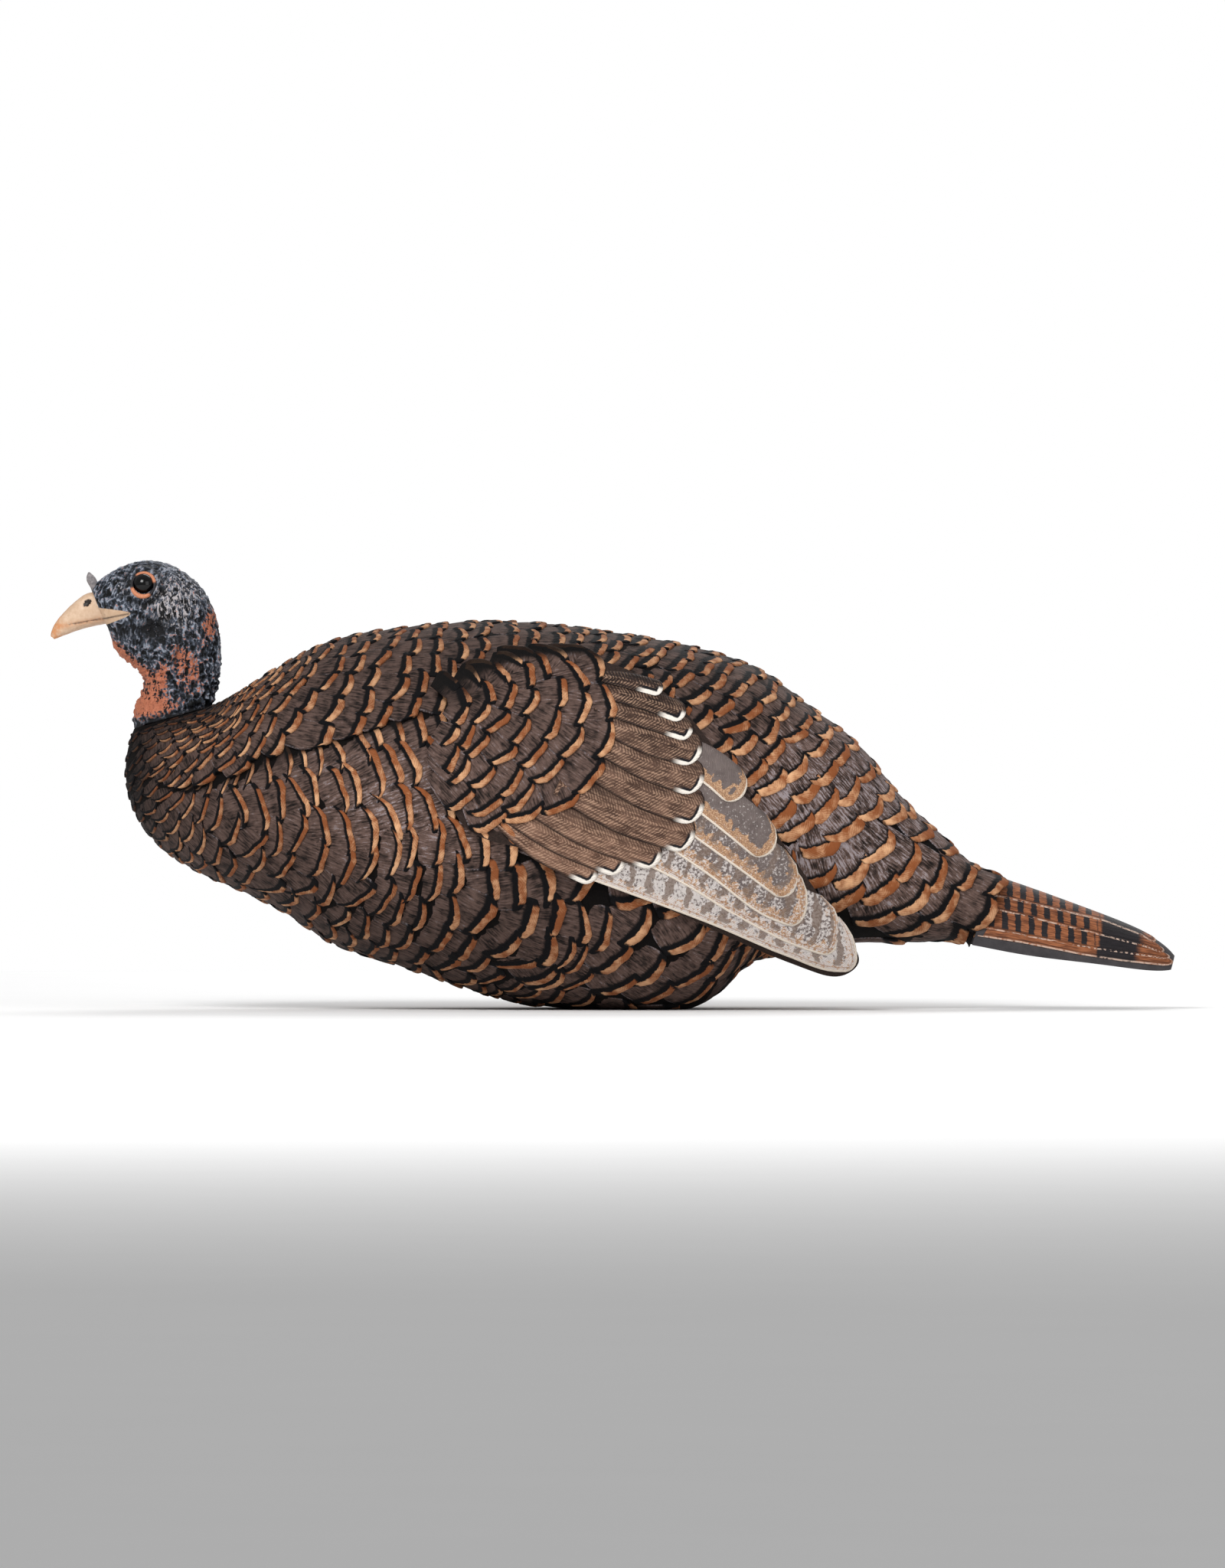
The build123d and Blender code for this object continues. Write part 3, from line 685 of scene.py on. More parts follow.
def body_feather(blades, tree, place, way, onward, width, gap, kind,
                 extra=0.0, narrow=1.0, shadow=None, fold=0):
    """Lays one feather with its tip at a place on the skin. extra is how much more its tip stands
    up, and narrow is how much narrower than usual its copper end is. shadow is the least darkness
    of a body feather's paint, and a feather of the shoulder patch has none. fold is 1 for feathers
    that end over the fold beside the breast, -1 for those that come out from under it, or 0."""
    along, across = FEATHER_ALONG[:, None], FEATHER_ACROSS[None, :]
    length = gap * 2.3
    pick, lean, twist = dice.random(), dice.normal(0, 0.15), dice.normal(0, 0.07)
    lift = dice.normal(0, 0.16)
    forward = onward * math.cos(twist) + way * math.sin(twist)
    side = way * math.cos(twist) - onward * math.sin(twist)
    # Outline, laid flat: how far each point is beside the shaft and behind the tip.
    half = width / 2 * (0.72 + 0.28 * np.sin(along * math.pi / 2)) + 0 * across
    wave = 0.05 * np.sin(across * 4.2 + pick * 6.3)
    cut = (tip_cut(across, kind) + lean * across + wave) * width / 2
    back = length * (1 - along) + cut * along ** 3
    flat = place + forward * (0.6 - back)[..., None] + side * (half * across)[..., None]
    if fold > 0:
        past = np.clip(fold_height(flat[..., 0]) - 1 - flat[..., 2], 0, None)
        flat[..., 2] += 0.88 * past * fold_strength(flat[..., 0])
    skin, normal = on_skin(tree, flat)
    over = skin[..., 2] - fold_height(skin[..., 0])
    strength = abs(fold) * fold_strength(skin[..., 0])
    # Height over the skin: rising to the tip, with a ridge and a groove just before it.
    rise = 1.75 * along ** 1.6 - 0.35 + 0.3 * (1 - across ** 2) * along + lift * along
    rise += 0.35 * bell(along - 0.925, 0.055) - 0.30 * bell(along - 0.79, 0.03)
    rise = rise - 0.45 * (along >= 1) - 0.25 * (np.abs(across) >= 1)
    rise = rise * (0.45 + 0.55 * min(gap / 12.5, 1.15)) + extra * along
    rise += strength * (2.2 * bell(over, 7) if fold > 0 else -1.3 * ramp(over, -5, 0))
    top = skin + normal * rise[..., None]
    bottom = skin + normal * np.minimum(rise - 0.9, -0.5)[..., None]
    top[..., 2] = np.maximum(top[..., 2], 0.35)
    bottom[..., 2] = np.maximum(bottom[..., 2], 0.6)
    x, z = top[..., 0], top[..., 2]
    if shadow is None:
        # Shoulder patch: darker towards its upper front corner and black along its upper edge, where it
        # meets the back feathers, as painted shade.
        darkness = 0.3 + 0.7 * spot(x, z, (-98, 198), (20, 13))
        crease = ramp(z - np.interp(x, *np.array(PATCH_EDGE).T), -6, -2)
    else:
        # Darkness: partly the plumage's own tone, partly painted shade; shadow adds painted shade by
        # the collar.
        darkness = np.maximum(plumage_tone_and_shade(x, z), shadow)
        # Painted shadow: black just under the fold, on the feathers that come out from under it.
        crease = strength * ramp(over, -5, -2.5) * (fold < 0)
    values = {
        "tip": (length * (1 - along) / gap - 0.03) * narrow, "along": length * along,
        "across": half * across, "edge": across * (1 if place[1] < 0 else -1), "pick": pick,
        "low": darkness, "crease": crease,
    }
    blades.add(top, bottom, values, hidden=FEATHER_HIDDEN)


def inside_outline(outline, x, z):
    """Whether a point of the side view is inside a closed outline."""
    inside = False
    for (x0, z0), (x1, z1) in zip(outline, outline[1:] + outline[:1]):
        if (z0 > z) != (z1 > z) and x < (x1 - x0) * (z - z0) / (z1 - z0) + x0:
            inside = not inside
    return inside


# Stretch of the side that the wing hides, where no body feathers are laid.
UNDER_WING = [
    (-72, 114), (-86, 124), (-90, 150), (-86, 182), (-74, 204), (-18, 206), (16, 190), (52, 142),
    (88, 86), (60, 66), (24, 84), (-30, 108),
]
# Radii and height of the smooth pad round the stake tube and the drains, on the flat of the belly.
PAD_RADII, PAD_HEIGHT = (46.0, 30.0), 8
# Where the front strips of plumage end and the rear ones start.
SPLIT_X = -45.0
# Tracts of body feathers: their rows, the first and last distance from the collar, the spacing
# along a row in gaps between rows, and the width of a feather in spacings.
TRACTS = {
    "upper": (UPPER_ROWS, 3.0, 566.0, 1.4, 1.16), "lower": (LOWER_ROWS, 36.0, 450.0, 1.95, 1.22),
}
# Distances from the collar: up to where the tips are round, where the rows take turns about the
# centre plane, and how far the fold beside the breast reaches.
ROUND_UP_TO, TURNS_FROM, FOLD_UP_TO = 60, 20, 330


def left_bare(place):
    """Whether a place on the body is under a wing or on the pad of the belly."""
    x, y, z = place
    on_pad = z < PAD_HEIGHT and (x / PAD_RADII[0]) ** 2 + (y / PAD_RADII[1]) ** 2 < 1
    return on_pad or inside_outline(UNDER_WING, x, z)


def narrowness(tract, level):
    """How much narrower than usual the copper ends of a row of feathers are."""
    narrow = 1.0 + 1.1 * math.exp(-level / 55)
    if tract == "lower":
        return narrow + 0.35 * ramp(level, 250, 190)
    return narrow - 0.3 * ramp(level, 200, 260) * ramp(level, 390, 330)


def lay_body_feathers():
    """All the feathers of the body, as strips of plumage on each side, front and rear."""
    shells = ("body_shell_left", "body_shell_right")
    grid = body_grid(shells)
    covered = body_grid((*shells, "wing_left", "wing_right"))
    faces = grid_faces(BODY_ROWS + PAST_RUMP, BODY_COLUMNS)
    bare_tree, covered_tree = (
        BVHTree.FromPolygons(skin.reshape(-1, 3).tolist(), faces)
        for skin in (grid, softened(covered, 2))
    )
    strips = {}
    for tract, (rows, first, last, pitch, widen) in TRACTS.items():
        field = thin_plate(rows)(grid[..., 0], grid[..., 2])
        for number, level in enumerate(levels_between(first, last)):
            gap = float(row_gap(level))
            line = row_line(grid, field, level)
            spread = np.linalg.norm(line - row_line(grid, field, level - gap), axis=1)
            spread = np.clip(np.where(np.isnan(spread), gap, spread), 0.8 * gap, 1.5 * gap)
            line_x = np.nan_to_num(line[:, 0])
            above_fold = line[:, 2] - fold_height(line_x)
            keep = above_fold > -2 - 5 * fold_strength(line_x) if tract == "upper" else above_fold < 12
            fold = (1 if tract == "upper" else -1) if level < FOLD_UP_TO else 0
            looks = {
                "kind": "round" if level < ROUND_UP_TO else "cut", "narrow": narrowness(tract, level),
                "shadow": 1.45 * math.exp(-level / 70) - 0.3, "fold": fold,
            }
            for run in runs_of(keep & ~np.isnan(line[:, 0])):
                shift, more = (0.5 if number % 2 else 0.0) + dice.uniform(-0.1, 0.1) + 0.25, 0
                if TURNS_FROM < level < FOLD_UP_TO:
                    shift, more = 0.5, number % 2
                for place, way, width, reach in anchors_on(line, spread, run, gap * pitch, shift, more):
                    stagger = 0.1 * gap * (1 if dice.random() < 0.5 else -1)
                    stagger += dice.normal(0, 0.06) * gap
                    place = place + way * dice.normal(0, 0.06) * width
                    if left_bare(place):
                        continue
                    tree = covered_tree if place[0] < -50 and place[2] < 212 else bare_tree
                    skin, normal, _, _ = tree.find_nearest(Vector(place))
                    onward = np.cross(np.array(normal), way)
                    onward *= np.sign(onward[0] * 0.8 - onward[2] * 0.6) or 1
                    side = "left" if place[1] < 0 else "right"
                    part = "front" if place[0] < SPLIT_X else "rear"
                    blades = strips.setdefault(f"{tract}_plumage_{part}_{side}", Blades())
                    # Feathers at the wing's lower front corner stand up over its edge.
                    extra = 1.6 * spot(place[0], place[2], (-78, 103), (20, 9))
                    body_feather(blades, tree, np.array(skin) + onward * stagger, way, onward,
                                 width * widen, reach, extra=extra, **looks)
    material = feather_paint()
    for key, blades in sorted(strips.items()):
        blades.piece(key, material, "body", "body_plumage")
    return material


# ---------------------------------------------------------------- wings
# Upper edge of the shoulder patch, and its rows from the outer one in, as side views (x, z).
PATCH_EDGE = [(-110, 198), (-98, 205), (-82, 210.5), (-56, 221), (-19, 224), (5, 215)]
PATCH_ROWS = [
    [(-36, 225), (-22, 224), (-11, 217), (0.6, 192), (1.5, 172), (-6, 150), (-25.7, 126),
     (-54.9, 116), (-72, 112)],
    [(-54, 225), (-40, 224), (-27, 217), (-15, 203), (-13, 188), (-18, 169), (-30, 151),
     (-45, 137), (-59, 124), (-78, 110)],
    [(-64, 223), (-50, 222), (-38, 213), (-29, 198), (-30, 183), (-38, 166), (-51, 148),
     (-66, 130), (-88, 113)],
    [(-76, 220), (-62, 219), (-50, 210), (-46, 196), (-48, 182), (-59, 163), (-76, 143), (-94, 124)],
    [(-88, 215), (-75, 214), (-64, 207), (-60, 196), (-64, 183), (-75, 166), (-88, 149), (-99, 134)],
    [(-97, 210), (-87, 209), (-77, 203), (-73, 193), (-78, 180), (-87, 166), (-98, 150)],
    [(-102, 207), (-96, 203), (-89, 195), (-88, 186), (-95, 172), (-103, 158)],
]
PATCH_GAPS = (13.5, 13.1, 12.7, 12.3, 11.9, 8.5, 6.0)
# The patch ends here towards the breast.
PATCH_FRONT_X = -101
# Greater coverts, upper over lower: lower edge from and to, tip, half width, all (x, z).
COVERTS = [
    ((2.4, 200.1), (19.2, 197.1), (31, 198), 4.5),
    ((3.4, 189.2), (33, 182.9), (44.9, 182.6), 6.0),
    ((1.4, 179.3), (36, 170.4), (49.2, 171.8), 6.5),
    ((2.4, 165.5), (42.9, 151.2), (54.8, 159.5), 10.0),
    ((-0.6, 151.6), (41.9, 133.4), (56, 141.7), 10.5),
    ((-3.6, 134.8), (42.9, 114.1), (56, 124), 11.0),
    ((-25.3, 124), (27.1, 99.2), (50.4, 107.2), 11.0),
    ((-46.1, 116), (4.4, 90.3), (30, 94.7), 9.0),
    ((-61.9, 112.1), (-12.5, 85.4), (7.3, 89.4), 8.0),
    ((-67.8, 109.1), (-30.3, 80.5), (-9.5, 82.8), 7.0),
]
# Long flight feathers, upper over lower: points of the axis, the half width, and above the
# axis, the width and the fall-back of the end as shares of it.
FLIGHT_FEATHERS = [
    ([(20, 168), (62, 148), (80, 132)], 10.0, (1.2, 1.3)),
    ([(20, 158), (70, 122), (98.5, 98.5)], 10.5, (1.4, 1.8)),
    ([(16, 140), (72, 103.5), (112, 74)], 10.0, (1.7, 2.2)),
    ([(5, 128), (66, 90), (99, 66), (118.5, 58.5)], 9.5, (2.8, 2.5)),
    ([(-8, 110), (50, 84), (84, 64), (116, 48), (139, 40.5)], 9.0, (2.9, 2.5)),
    ([(-34, 94), (10, 80), (62, 62), (112, 41), (137, 32.5), (151, 32.5)], 8.8, (2.9, 1.9)),
]


def seen_from_left(tree, x, z):
    """Where a ray from the left side meets a tree, and the normal there."""
    return tree.ray_cast(Vector((x, -300, z)), Vector((0, 1, 0)))[:2]


def wing_skin():
    """The outside of the left wing as a smooth sheet that also runs on past its edges."""
    tree = tree_of("wing_left")
    samples = []
    for x in np.arange(-94, 148, 4.0):
        for z in np.arange(24, 216, 4.0):
            around = ((0, 0), (4, 0), (-4, 0), (0, 4), (0, -4))
            hits = [seen_from_left(tree, x + dx, z + dz)[0] for dx, dz in around]
            if all(hit is not None for hit in hits):
                samples.append((x, hits[0].y, z))
    samples = np.array(samples)

    def terms(x, z):
        x, z = x / 100, z / 100
        return np.stack([x ** i * z ** j for i in range(5) for j in range(5 - i)], -1)

    fit = np.linalg.lstsq(terms(samples[:, 0], samples[:, 2]), samples[:, 1], rcond=None)[0]
    x, z = np.meshgrid(np.arange(-114, 160, 2.0), np.arange(228, 8, -2.0), indexing="ij")
    grid = np.stack([x, np.minimum(terms(x, z) @ fit, -50), z], -1)
    for index in np.ndindex(x.shape):
        hit = seen_from_left(tree, x[index], z[index])[0]
        if hit is not None:
            grid[index][1] = min(grid[index][1], hit.y)
    return BVHTree.FromPolygons(grid.reshape(-1, 3).tolist(), grid_faces(*x.shape, closed=False))


LONG_ALONG = np.concatenate([np.linspace(0, 0.74, 14), np.linspace(0.78, 1, 12)])
LONG_ACROSS = np.array([-1, -0.8, -0.55, -0.3, -0.08, 0.08, 0.3, 0.5, 0.68, 0.82, 0.92, 1])


def curve_through(points, shares):
    """Points at shares of the length of a smooth line through a few given points, and its length."""
    points = np.array(points, float)
    smooth = along_guide(np.concatenate([points, np.zeros((len(points), 2))], 1), 60)[:, :2]
    at = length_along(smooth)
    where = np.asarray(shares) * at[-1]
    return np.stack([np.interp(where, at, smooth[:, axis]) for axis in (0, 1)], -1), at[-1]


def long_feather(blades, tree, axis_points, half, rises, hidden, kind, upper=(1.0, 0.9)):
    """A long vane laid on the wing. rises: how proud it stands at its root and tip, and how much
    more at its lower edge. upper: width above the axis, and how far the end falls back there, as
    shares of the half width. Across runs from the upper edge to the lower."""
    along, across = LONG_ALONG[:, None], LONG_ACROSS[None, :]
    _, length = curve_through(axis_points, [0, 1])
    round_cut = 1 - np.sqrt(np.clip(1 - across ** 2 * 0.985, 0, 1))
    cut = half * np.where(across < 0, upper[1], 0.95) * round_cut
    shares = np.clip(along - cut / length * along ** 6, 0, 1)
    spine, ahead, behind = (
        curve_through(axis_points, np.clip(shares + step, 0, 1))[0] for step in (0, 0.02, -0.02)
    )
    way = ahead - behind
    way /= np.maximum(np.linalg.norm(way, axis=-1, keepdims=True), 1e-9)
    down = np.stack([way[..., 1], -way[..., 0]], -1)
    taper = 0.62 + 0.38 * np.sin(np.clip(along * 1.6, 0, 1) * math.pi / 2)
    width = half * taper * np.where(across < 0, upper[0], 1)
    flat = spine + down * (width * across)[..., None]
    root_rise, tip_rise, edge_rise = rises
    rise = root_rise + (tip_rise - root_rise) * along ** 1.3 + edge_rise * (across + 1) / 2
    rise = rise + 0.35 * bell(across + 0.05, 0.1) * np.clip(1.3 * (1 - along), 0, 1)
    rise = rise - 0.35 * (np.abs(across) >= 1) - 0.4 * (along >= 1)
    top = np.zeros(flat.shape[:-1] + (3,))
    for index in np.ndindex(top.shape[:-1]):
        x, z = flat[index]
        hit = seen_from_left(tree, x, z)[0]
        top[index] = (x, hit.y if hit else -60, z)
    values = {
        "tip": length * (1 - shares), "along": length * along, "across": width * across,
        "edge": across, "pick": dice.random(), "kind": kind,
        "rim": np.minimum(width * (1 - across), length * (1 - along)),
    }
    under = top + np.array([0, 0.9, 0])
    blades.add(top - np.array([0, 1, 0]) * rise[..., None], under, values, hidden=hidden)


def covert_paint():
    """Greater coverts: brown vanes with fine barbs, a dark tip line and a pale tip crescent, with
    painted shade along each covert's lower edge and tip and on its upper side.
    """
    shade = Shade("covert_paint", specular=0.15)
    rim, edge, tip, kind = shade.attributes("rim", "edge", "tip", "kind")
    ridges = barbs(shade, 2.1, 0.8)
    lines = brushed(shade, 9.0, 1.2)
    cloud = shade.noise(10.0)
    grain = shade.noise(0.8, detail=4.0)
    mottle = cloud * 0.6 + lines * 0.4
    dark_brown = shade.mix(kind, paint(27, 19, 17), paint(78, 54, 43))
    pale_brown = shade.mix(kind, paint(68, 50, 43), paint(144, 110, 91))
    brown = shade.mix(shade.step(mottle, 0.3, 0.72), dark_brown, pale_brown)
    worn = ridges * 0.3 + (lines + grain * 0.5)
    specks = shade.step(worn, 0.86, 1.16)
    brown = shade.mix(specks * 0.5, brown, paint(196, 160, 134))
    # Painted shade: darker along the lower edge and the tip of each covert.
    groove = 1.0 - shade.step(rim, 0.5, 2.2)
    brown = shade.mix(groove * 0.8, brown, paint(28, 20, 19))
    # Painted shade: darker on the upper side, which lies under the covert above.
    upper = 1.0 - shade.step(edge, -1.0, 0.1)
    brown = shade.mix(upper * 0.7, brown, paint(30, 21, 19))
    low_tip = (1.0 - shade.step(tip, 10.0, 17.0)) * shade.step(edge, -0.35, 0.1)
    near = rim + shade.noise(3.0)
    line = low_tip * (1.0 - shade.step(near, 4.4, 5.4))
    white = low_tip * (1.0 - shade.step(near, 2.9, 3.6))
    colour = shade.mix(white, shade.mix(line, brown, paint(20, 19, 24)), paint(238, 230, 220))
    return shade.finished(colour, 0.62, ridges + grain * 0.5, 0.25, 0.8)


def flight_paint():
    """Flight feathers: grey middle, wavy tan band, pale edge line; the lowest are mostly pale."""
    shade = Shade("flight_paint", specular=0.15)
    rim, along, kind = shade.attributes("rim", "along", "kind")
    ridges = barbs(shade, 1.3, 0.7)
    grain = shade.noise(0.7, detail=4.0)
    cloud = shade.noise(5.0, detail=4.0)
    grey = shade.mix(cloud, paint(82, 72, 70), paint(126, 114, 110))
    waves = shade.noise(4.5, detail=2.0) * 12.0 + shade.math("SINE", along * 0.95) * 1.3
    tan = 1.0 - shade.step(rim, waves + 0.6, waves + 1.4)
    sand = shade.mix(shade.step(grain, 0.35, 0.7), paint(142, 104, 78), paint(206, 170, 136))
    colour = shade.mix(tan, grey, sand)
    frost = shade.step(shade.noise(1.6, detail=5.0) + kind * 0.28, 0.62, 0.8)
    colour = shade.mix(frost * 0.9, colour, paint(208, 200, 196))
    swing = along * 0.5 + shade.noise(7.0) * 7.0
    squares = shade.step(shade.math("SINE", swing), 0.2, 0.6)
    squares = squares * shade.step(rim, 3.4, 4.6) * shade.step(kind, 0.2, 0.5)
    colour = shade.mix(squares * 0.8, colour, paint(118, 100, 89))
    line = 1.0 - shade.step(rim, 1.1, 1.6)
    second = shade.step(rim, 2.4, 2.8) * (1.0 - shade.step(rim, 3.0, 3.5))
    colour = shade.mix(second * 0.55, colour, paint(150, 112, 84))
    colour = shade.mix(line, colour, paint(228, 215, 200))
    return shade.finished(colour, 0.6, ridges + grain * 0.5, 0.25, 0.8)


def lay_wings(plumage):
    """Shoulder patch, coverts and flight feathers on the left wing, and their mirror images."""
    tree = wing_skin()
    patch, coverts, flight = Blades(), Blades(), Blades()
    for number, row in enumerate(PATCH_ROWS):
        flat, _ = curve_through(row, np.linspace(0, 1, 200))
        line = np.insert(flat, 1, 0, axis=1)
        spread = np.full(len(line), PATCH_GAPS[number])
        shift = 0.25 + (0.5 if number % 2 else 0)
        run, pitch = list(range(len(line))), 25 - 1.6 * number
        for place, way, width, reach in anchors_on(line, spread, run, pitch, shift):
            hit, normal = seen_from_left(tree, place[0], place[2])
            if hit is None or place[0] < PATCH_FRONT_X:
                continue
            normal = np.array(normal)
            onward = np.array((-way[2], 0, way[0])) + np.array((0, 0, -0.15))
            onward = onward - normal * (onward @ normal)
            onward /= np.linalg.norm(onward)
            across = np.cross(onward, normal)
            across *= np.sign(across @ way) or 1
            tip = np.array(hit) + onward * dice.normal(0, 0.05) * reach
            body_feather(patch, tree, tip, across, onward, width * 1.14, reach, "cut", 0.5,
                         narrow=0.066 * PATCH_GAPS[number])
    for number, (start, end, tip, half) in enumerate(COVERTS):
        start, end, tip = (np.array(p, float) for p in (start, end, tip))
        way = (end - start) / np.linalg.norm(end - start)
        up = np.array((-way[1], way[0]))
        root = start + up * half - way * 14
        middle = (start + end) / 2 + up * half
        share = number / (len(COVERTS) - 1)
        long_feather(coverts, tree, [root, middle, tip], half * 1.12, (0.0, 1.3, 1.1), 0.15, share)
    for number, (points, half, upper) in enumerate(FLIGHT_FEATHERS):
        long_feather(flight, tree, points, half, (-0.2, 0.9, 0.9), 0.3, number / 5.0, upper)
    for name, blades, material in (
        ("shoulder_patch", patch, plumage), ("covert_feathers", coverts, covert_paint()),
        ("flight_feathers", flight, flight_paint()),
    ):
        blades.piece(name + "_left", material, "body", "wing_plumage")
        blades.mirrored().piece(name + "_right", material, "body", "wing_plumage")


# ---------------------------------------------------------------- tail
# Lower edges of the tail feathers, from the ridge down, as side views (x, z).
TAIL_EDGES = [
    [(232, 71), (254, 66), (305.3, 54), (329, 45), (341, 37)],
    [(223, 64.4), (254, 57.5), (306.6, 44.4), (332.7, 37.4), (345, 32.5)],
    [(212, 54), (254, 45.4), (291.6, 38.2), (336.5, 31.6), (348, 29.6)],
    [(212, 47.6), (254, 41), (291, 33.6), (316.5, 29.6), (341.5, 26.8), (348, 26.6)],
]
# Where the tail feathers start, under the rump, and where each one ends.
TAIL_START = 226.5
TAIL_ENDS = (338.0, 343.0, 346.5, 348.5)
TAIL_ALONG = np.concatenate([np.linspace(0, 0.8, 30), np.linspace(0.83, 1, 10)])
TAIL_ACROSS = np.array([-1, -0.8, -0.6, -0.4, -0.2, 0, 0.2, 0.4, 0.6, 0.75, 0.87, 0.95, 1])


def tail_paint():
    """Tail feathers: copper and black squares, a black band, a copper end and pale edge lines."""
    shade = Shade("tail_paint", specular=0.15)
    rim, station, pick, barred = shade.attributes("rim", "station", "pick", "barred")
    grain = shade.noise(0.8, detail=4.0)
    streak = shade.noise(1.0, shade.add("CombineXYZ", {0: station * 0.12, 1: rim * 1.3, 2: pick}))
    copper = shade.mix(shade.step(streak, 0.3, 0.7), paint(88, 50, 33), paint(158, 98, 64))
    run = station + shade.noise(3.0) * 2.4
    wave = shade.math("SINE", run * (2 * math.pi / 8.2))
    bars = shade.step(wave, -0.05, 0.35) * (1.0 - shade.step(station, 302.0, 304.0))
    bars = bars * (shade.step(rim, 1.2, 2.4) * barred)
    band = shade.step(run, 305.5, 307.5) * (1.0 - shade.step(run, 329.0, 334.0))
    dark = shade.math("MAXIMUM", bars, band)
    colour = shade.mix(dark, copper, shade.mix(streak, paint(12, 11, 13), paint(48, 44, 47)))
    line = (1.0 - shade.step(rim, 0.7, 1.2)) * shade.step(shade.noise(2.5), 0.3, 0.55)
    shadow = shade.step(rim, 1.2, 1.5) * (1.0 - shade.step(rim, 1.9, 2.4))
    colour = shade.mix(shadow * 0.5, colour, paint(24, 19, 19))
    colour = shade.mix(line * 0.85, colour, paint(198, 172, 156))
    return shade.finished(colour, 0.6, streak + grain * 0.5, 0.3, 0.8)


def tail_feather_on_fan(tree, number):
    """Points of a tail feather on the fan, from its root to its end and from its upper edge to its
    lower one, and how far each point is from the feather's lower edge and end. Feather 0 lies on
    the ridge, and each of the others comes out from under the one before."""
    low, end = np.array(TAIL_EDGES[number], float), TAIL_ENDS[number]
    high = np.array(TAIL_EDGES[number - 1], float)
    length = end - TAIL_START
    top = np.zeros((len(TAIL_ALONG), len(TAIL_ACROSS), 3))
    rim = np.zeros(top.shape[:2])
    for (i, j), _ in np.ndenumerate(rim):
        share, a = TAIL_ALONG[i], TAIL_ACROSS[j]
        x = TAIL_START + length * share - 5.0 * (1 - math.sqrt(1 - 0.98 * a * a)) * share ** 12
        bottom_z = np.interp(x, *low.T)
        peak = tree.ray_cast(Vector((x, -0.05, 300)), Vector((0, 0, -1)))[0]
        peak_z = bottom_z + 1 if peak is None else peak.z
        if number:
            top_z = min(np.interp(x, *high.T) + 1.5, peak_z - 0.4)
            z = bottom_z + (top_z - bottom_z) * (1 - a) / 2
        else:
            z = bottom_z + (peak_z - bottom_z) * math.sin((1 - a) / 2 * math.pi / 2)
        hit = seen_from_left(tree, x, z)[0]
        on_ridge = a == -1 and not number
        top[i, j] = (x, -0.02, min(z, peak_z)) if on_ridge or hit is None or hit.y > -0.05 else hit
        rim[i, j] = min(z - bottom_z, (1 - share) * length)
    return top, rim


def lay_tail():
    """Tail feathers on the left of the fan, each over the one below, and their mirror images."""
    tree = tree_of("tail_fan")
    blades = Blades()
    along, across = TAIL_ALONG[:, None], TAIL_ACROSS[None, :]
    for number in range(len(TAIL_ENDS)):
        top, rim = tail_feather_on_fan(tree, number)
        normal = grid_normals(top, closed=False)
        if number == 0:
            normal[:, 0] = (0, 0, 1)
        rise = 0.25 + 0.6 * np.clip(along * 3, 0, 1) * (0.35 + 0.65 * (across + 1) / 2)
        rise = rise - 0.35 * (along >= 1) - 0.3 * (across >= 1)
        surface = top + normal * rise[..., None]
        under = top - normal * 0.6
        if number == 0:
            surface[:, 0, 1] = under[:, 0, 1] = -0.01
        blades.add(surface, under, {
            "rim": rim, "station": surface[..., 0] + 1.7 * number, "pick": 7.3 * number,
            "barred": 1.0 if number < 3 else 0.0,
        })
    material = tail_paint()
    blades.piece("tail_feathers_left", material, "tail", "tail_plumage")
    blades.mirrored().piece("tail_feathers_right", material, "tail", "tail_plumage")


# ---------------------------------------------------------------- head
# Middle of the neck and head from the collar to the face, as for the body.
HEAD_MIDDLE = [
    (-274.17, 181.35, 15.7, 27), (-272, 190, 13, 29), (-269.5, 201, 10, 30), (-267.5, 213, 14, 34),
    (-269, 225, 27, 38), (-275, 236, 46, 40), (-283, 243, 64, 40), (-292, 247, 80, 40),
    (-301, 249, 92, 38), (-310, 250.5, 101, 34), (-317, 252, 108, 30), (-321.5, 253.5, 112, 14),
]
HEAD_ROWS, HEAD_COLUMNS = 210, 190
BILL_MIDDLE = [
    (-311.5, 247.5, 108, 16), (-318, 245.5, 110, 16), (-326, 243, 113, 14), (-334, 239.5, 117, 12),
    (-341, 236, 124, 10), (-346, 232.8, 133, 7), (-348.8, 230.6, 140, 4),
]
BILL_ROWS, BILL_COLUMNS = 90, 96
# Bottom of the neck: its middle, its tilt and the radius of the opening for the plug.
NECK_MIDDLE, NECK_TILT, NECK_OPENING = (-274.0, 0, 180.75), 15.7, 17.5
EYE = (-291.5, 263.3)
MOUTH = ((-347.0, 237.3), (-300.1, 245.6))
NOSTRIL = (-326.8, 252.3)
LID_ROWS, LID_COLUMNS, LID_RADIUS = 72, 20, 7.15


def rings(node, guide, rows, columns):
    """Rings of points on the outside of a CAD node, about the points of a guide."""
    tree = tree_of(node)
    turns = 2 * math.pi * (np.arange(columns) + 0.5) / columns
    grid = []
    for x, z, tilt, reach in along_guide(guide, rows):
        middle, up = np.array((x, 0, z)), axes_of(tilt)[0]
        grid.append(ring_points(middle, up, turns, reaches_around(tree, middle, up, turns, reach)))
    return softened(np.array(grid), 3)


def noise_on(points, size, octaves=3, shift=0.0):
    """Noise from about -1 to 1 at each point."""
    flat = points.reshape(-1, 3) / size + shift
    values = [noise.fractal(Vector(p), 0.8, 2.1, octaves) for p in flat]
    return np.array(values).reshape(points.shape[:-1])


def beside(x, z, start, end):
    """Distance from the line between two points of the side view, and the share along it."""
    start, end = np.array(start), np.array(end)
    way = end - start
    share = ((x - start[0]) * way[0] + (z - start[1]) * way[1]) / (way @ way)
    held = np.clip(share, 0, 1)
    return np.hypot(x - start[0] - held * way[0], z - start[1] - held * way[1]), share


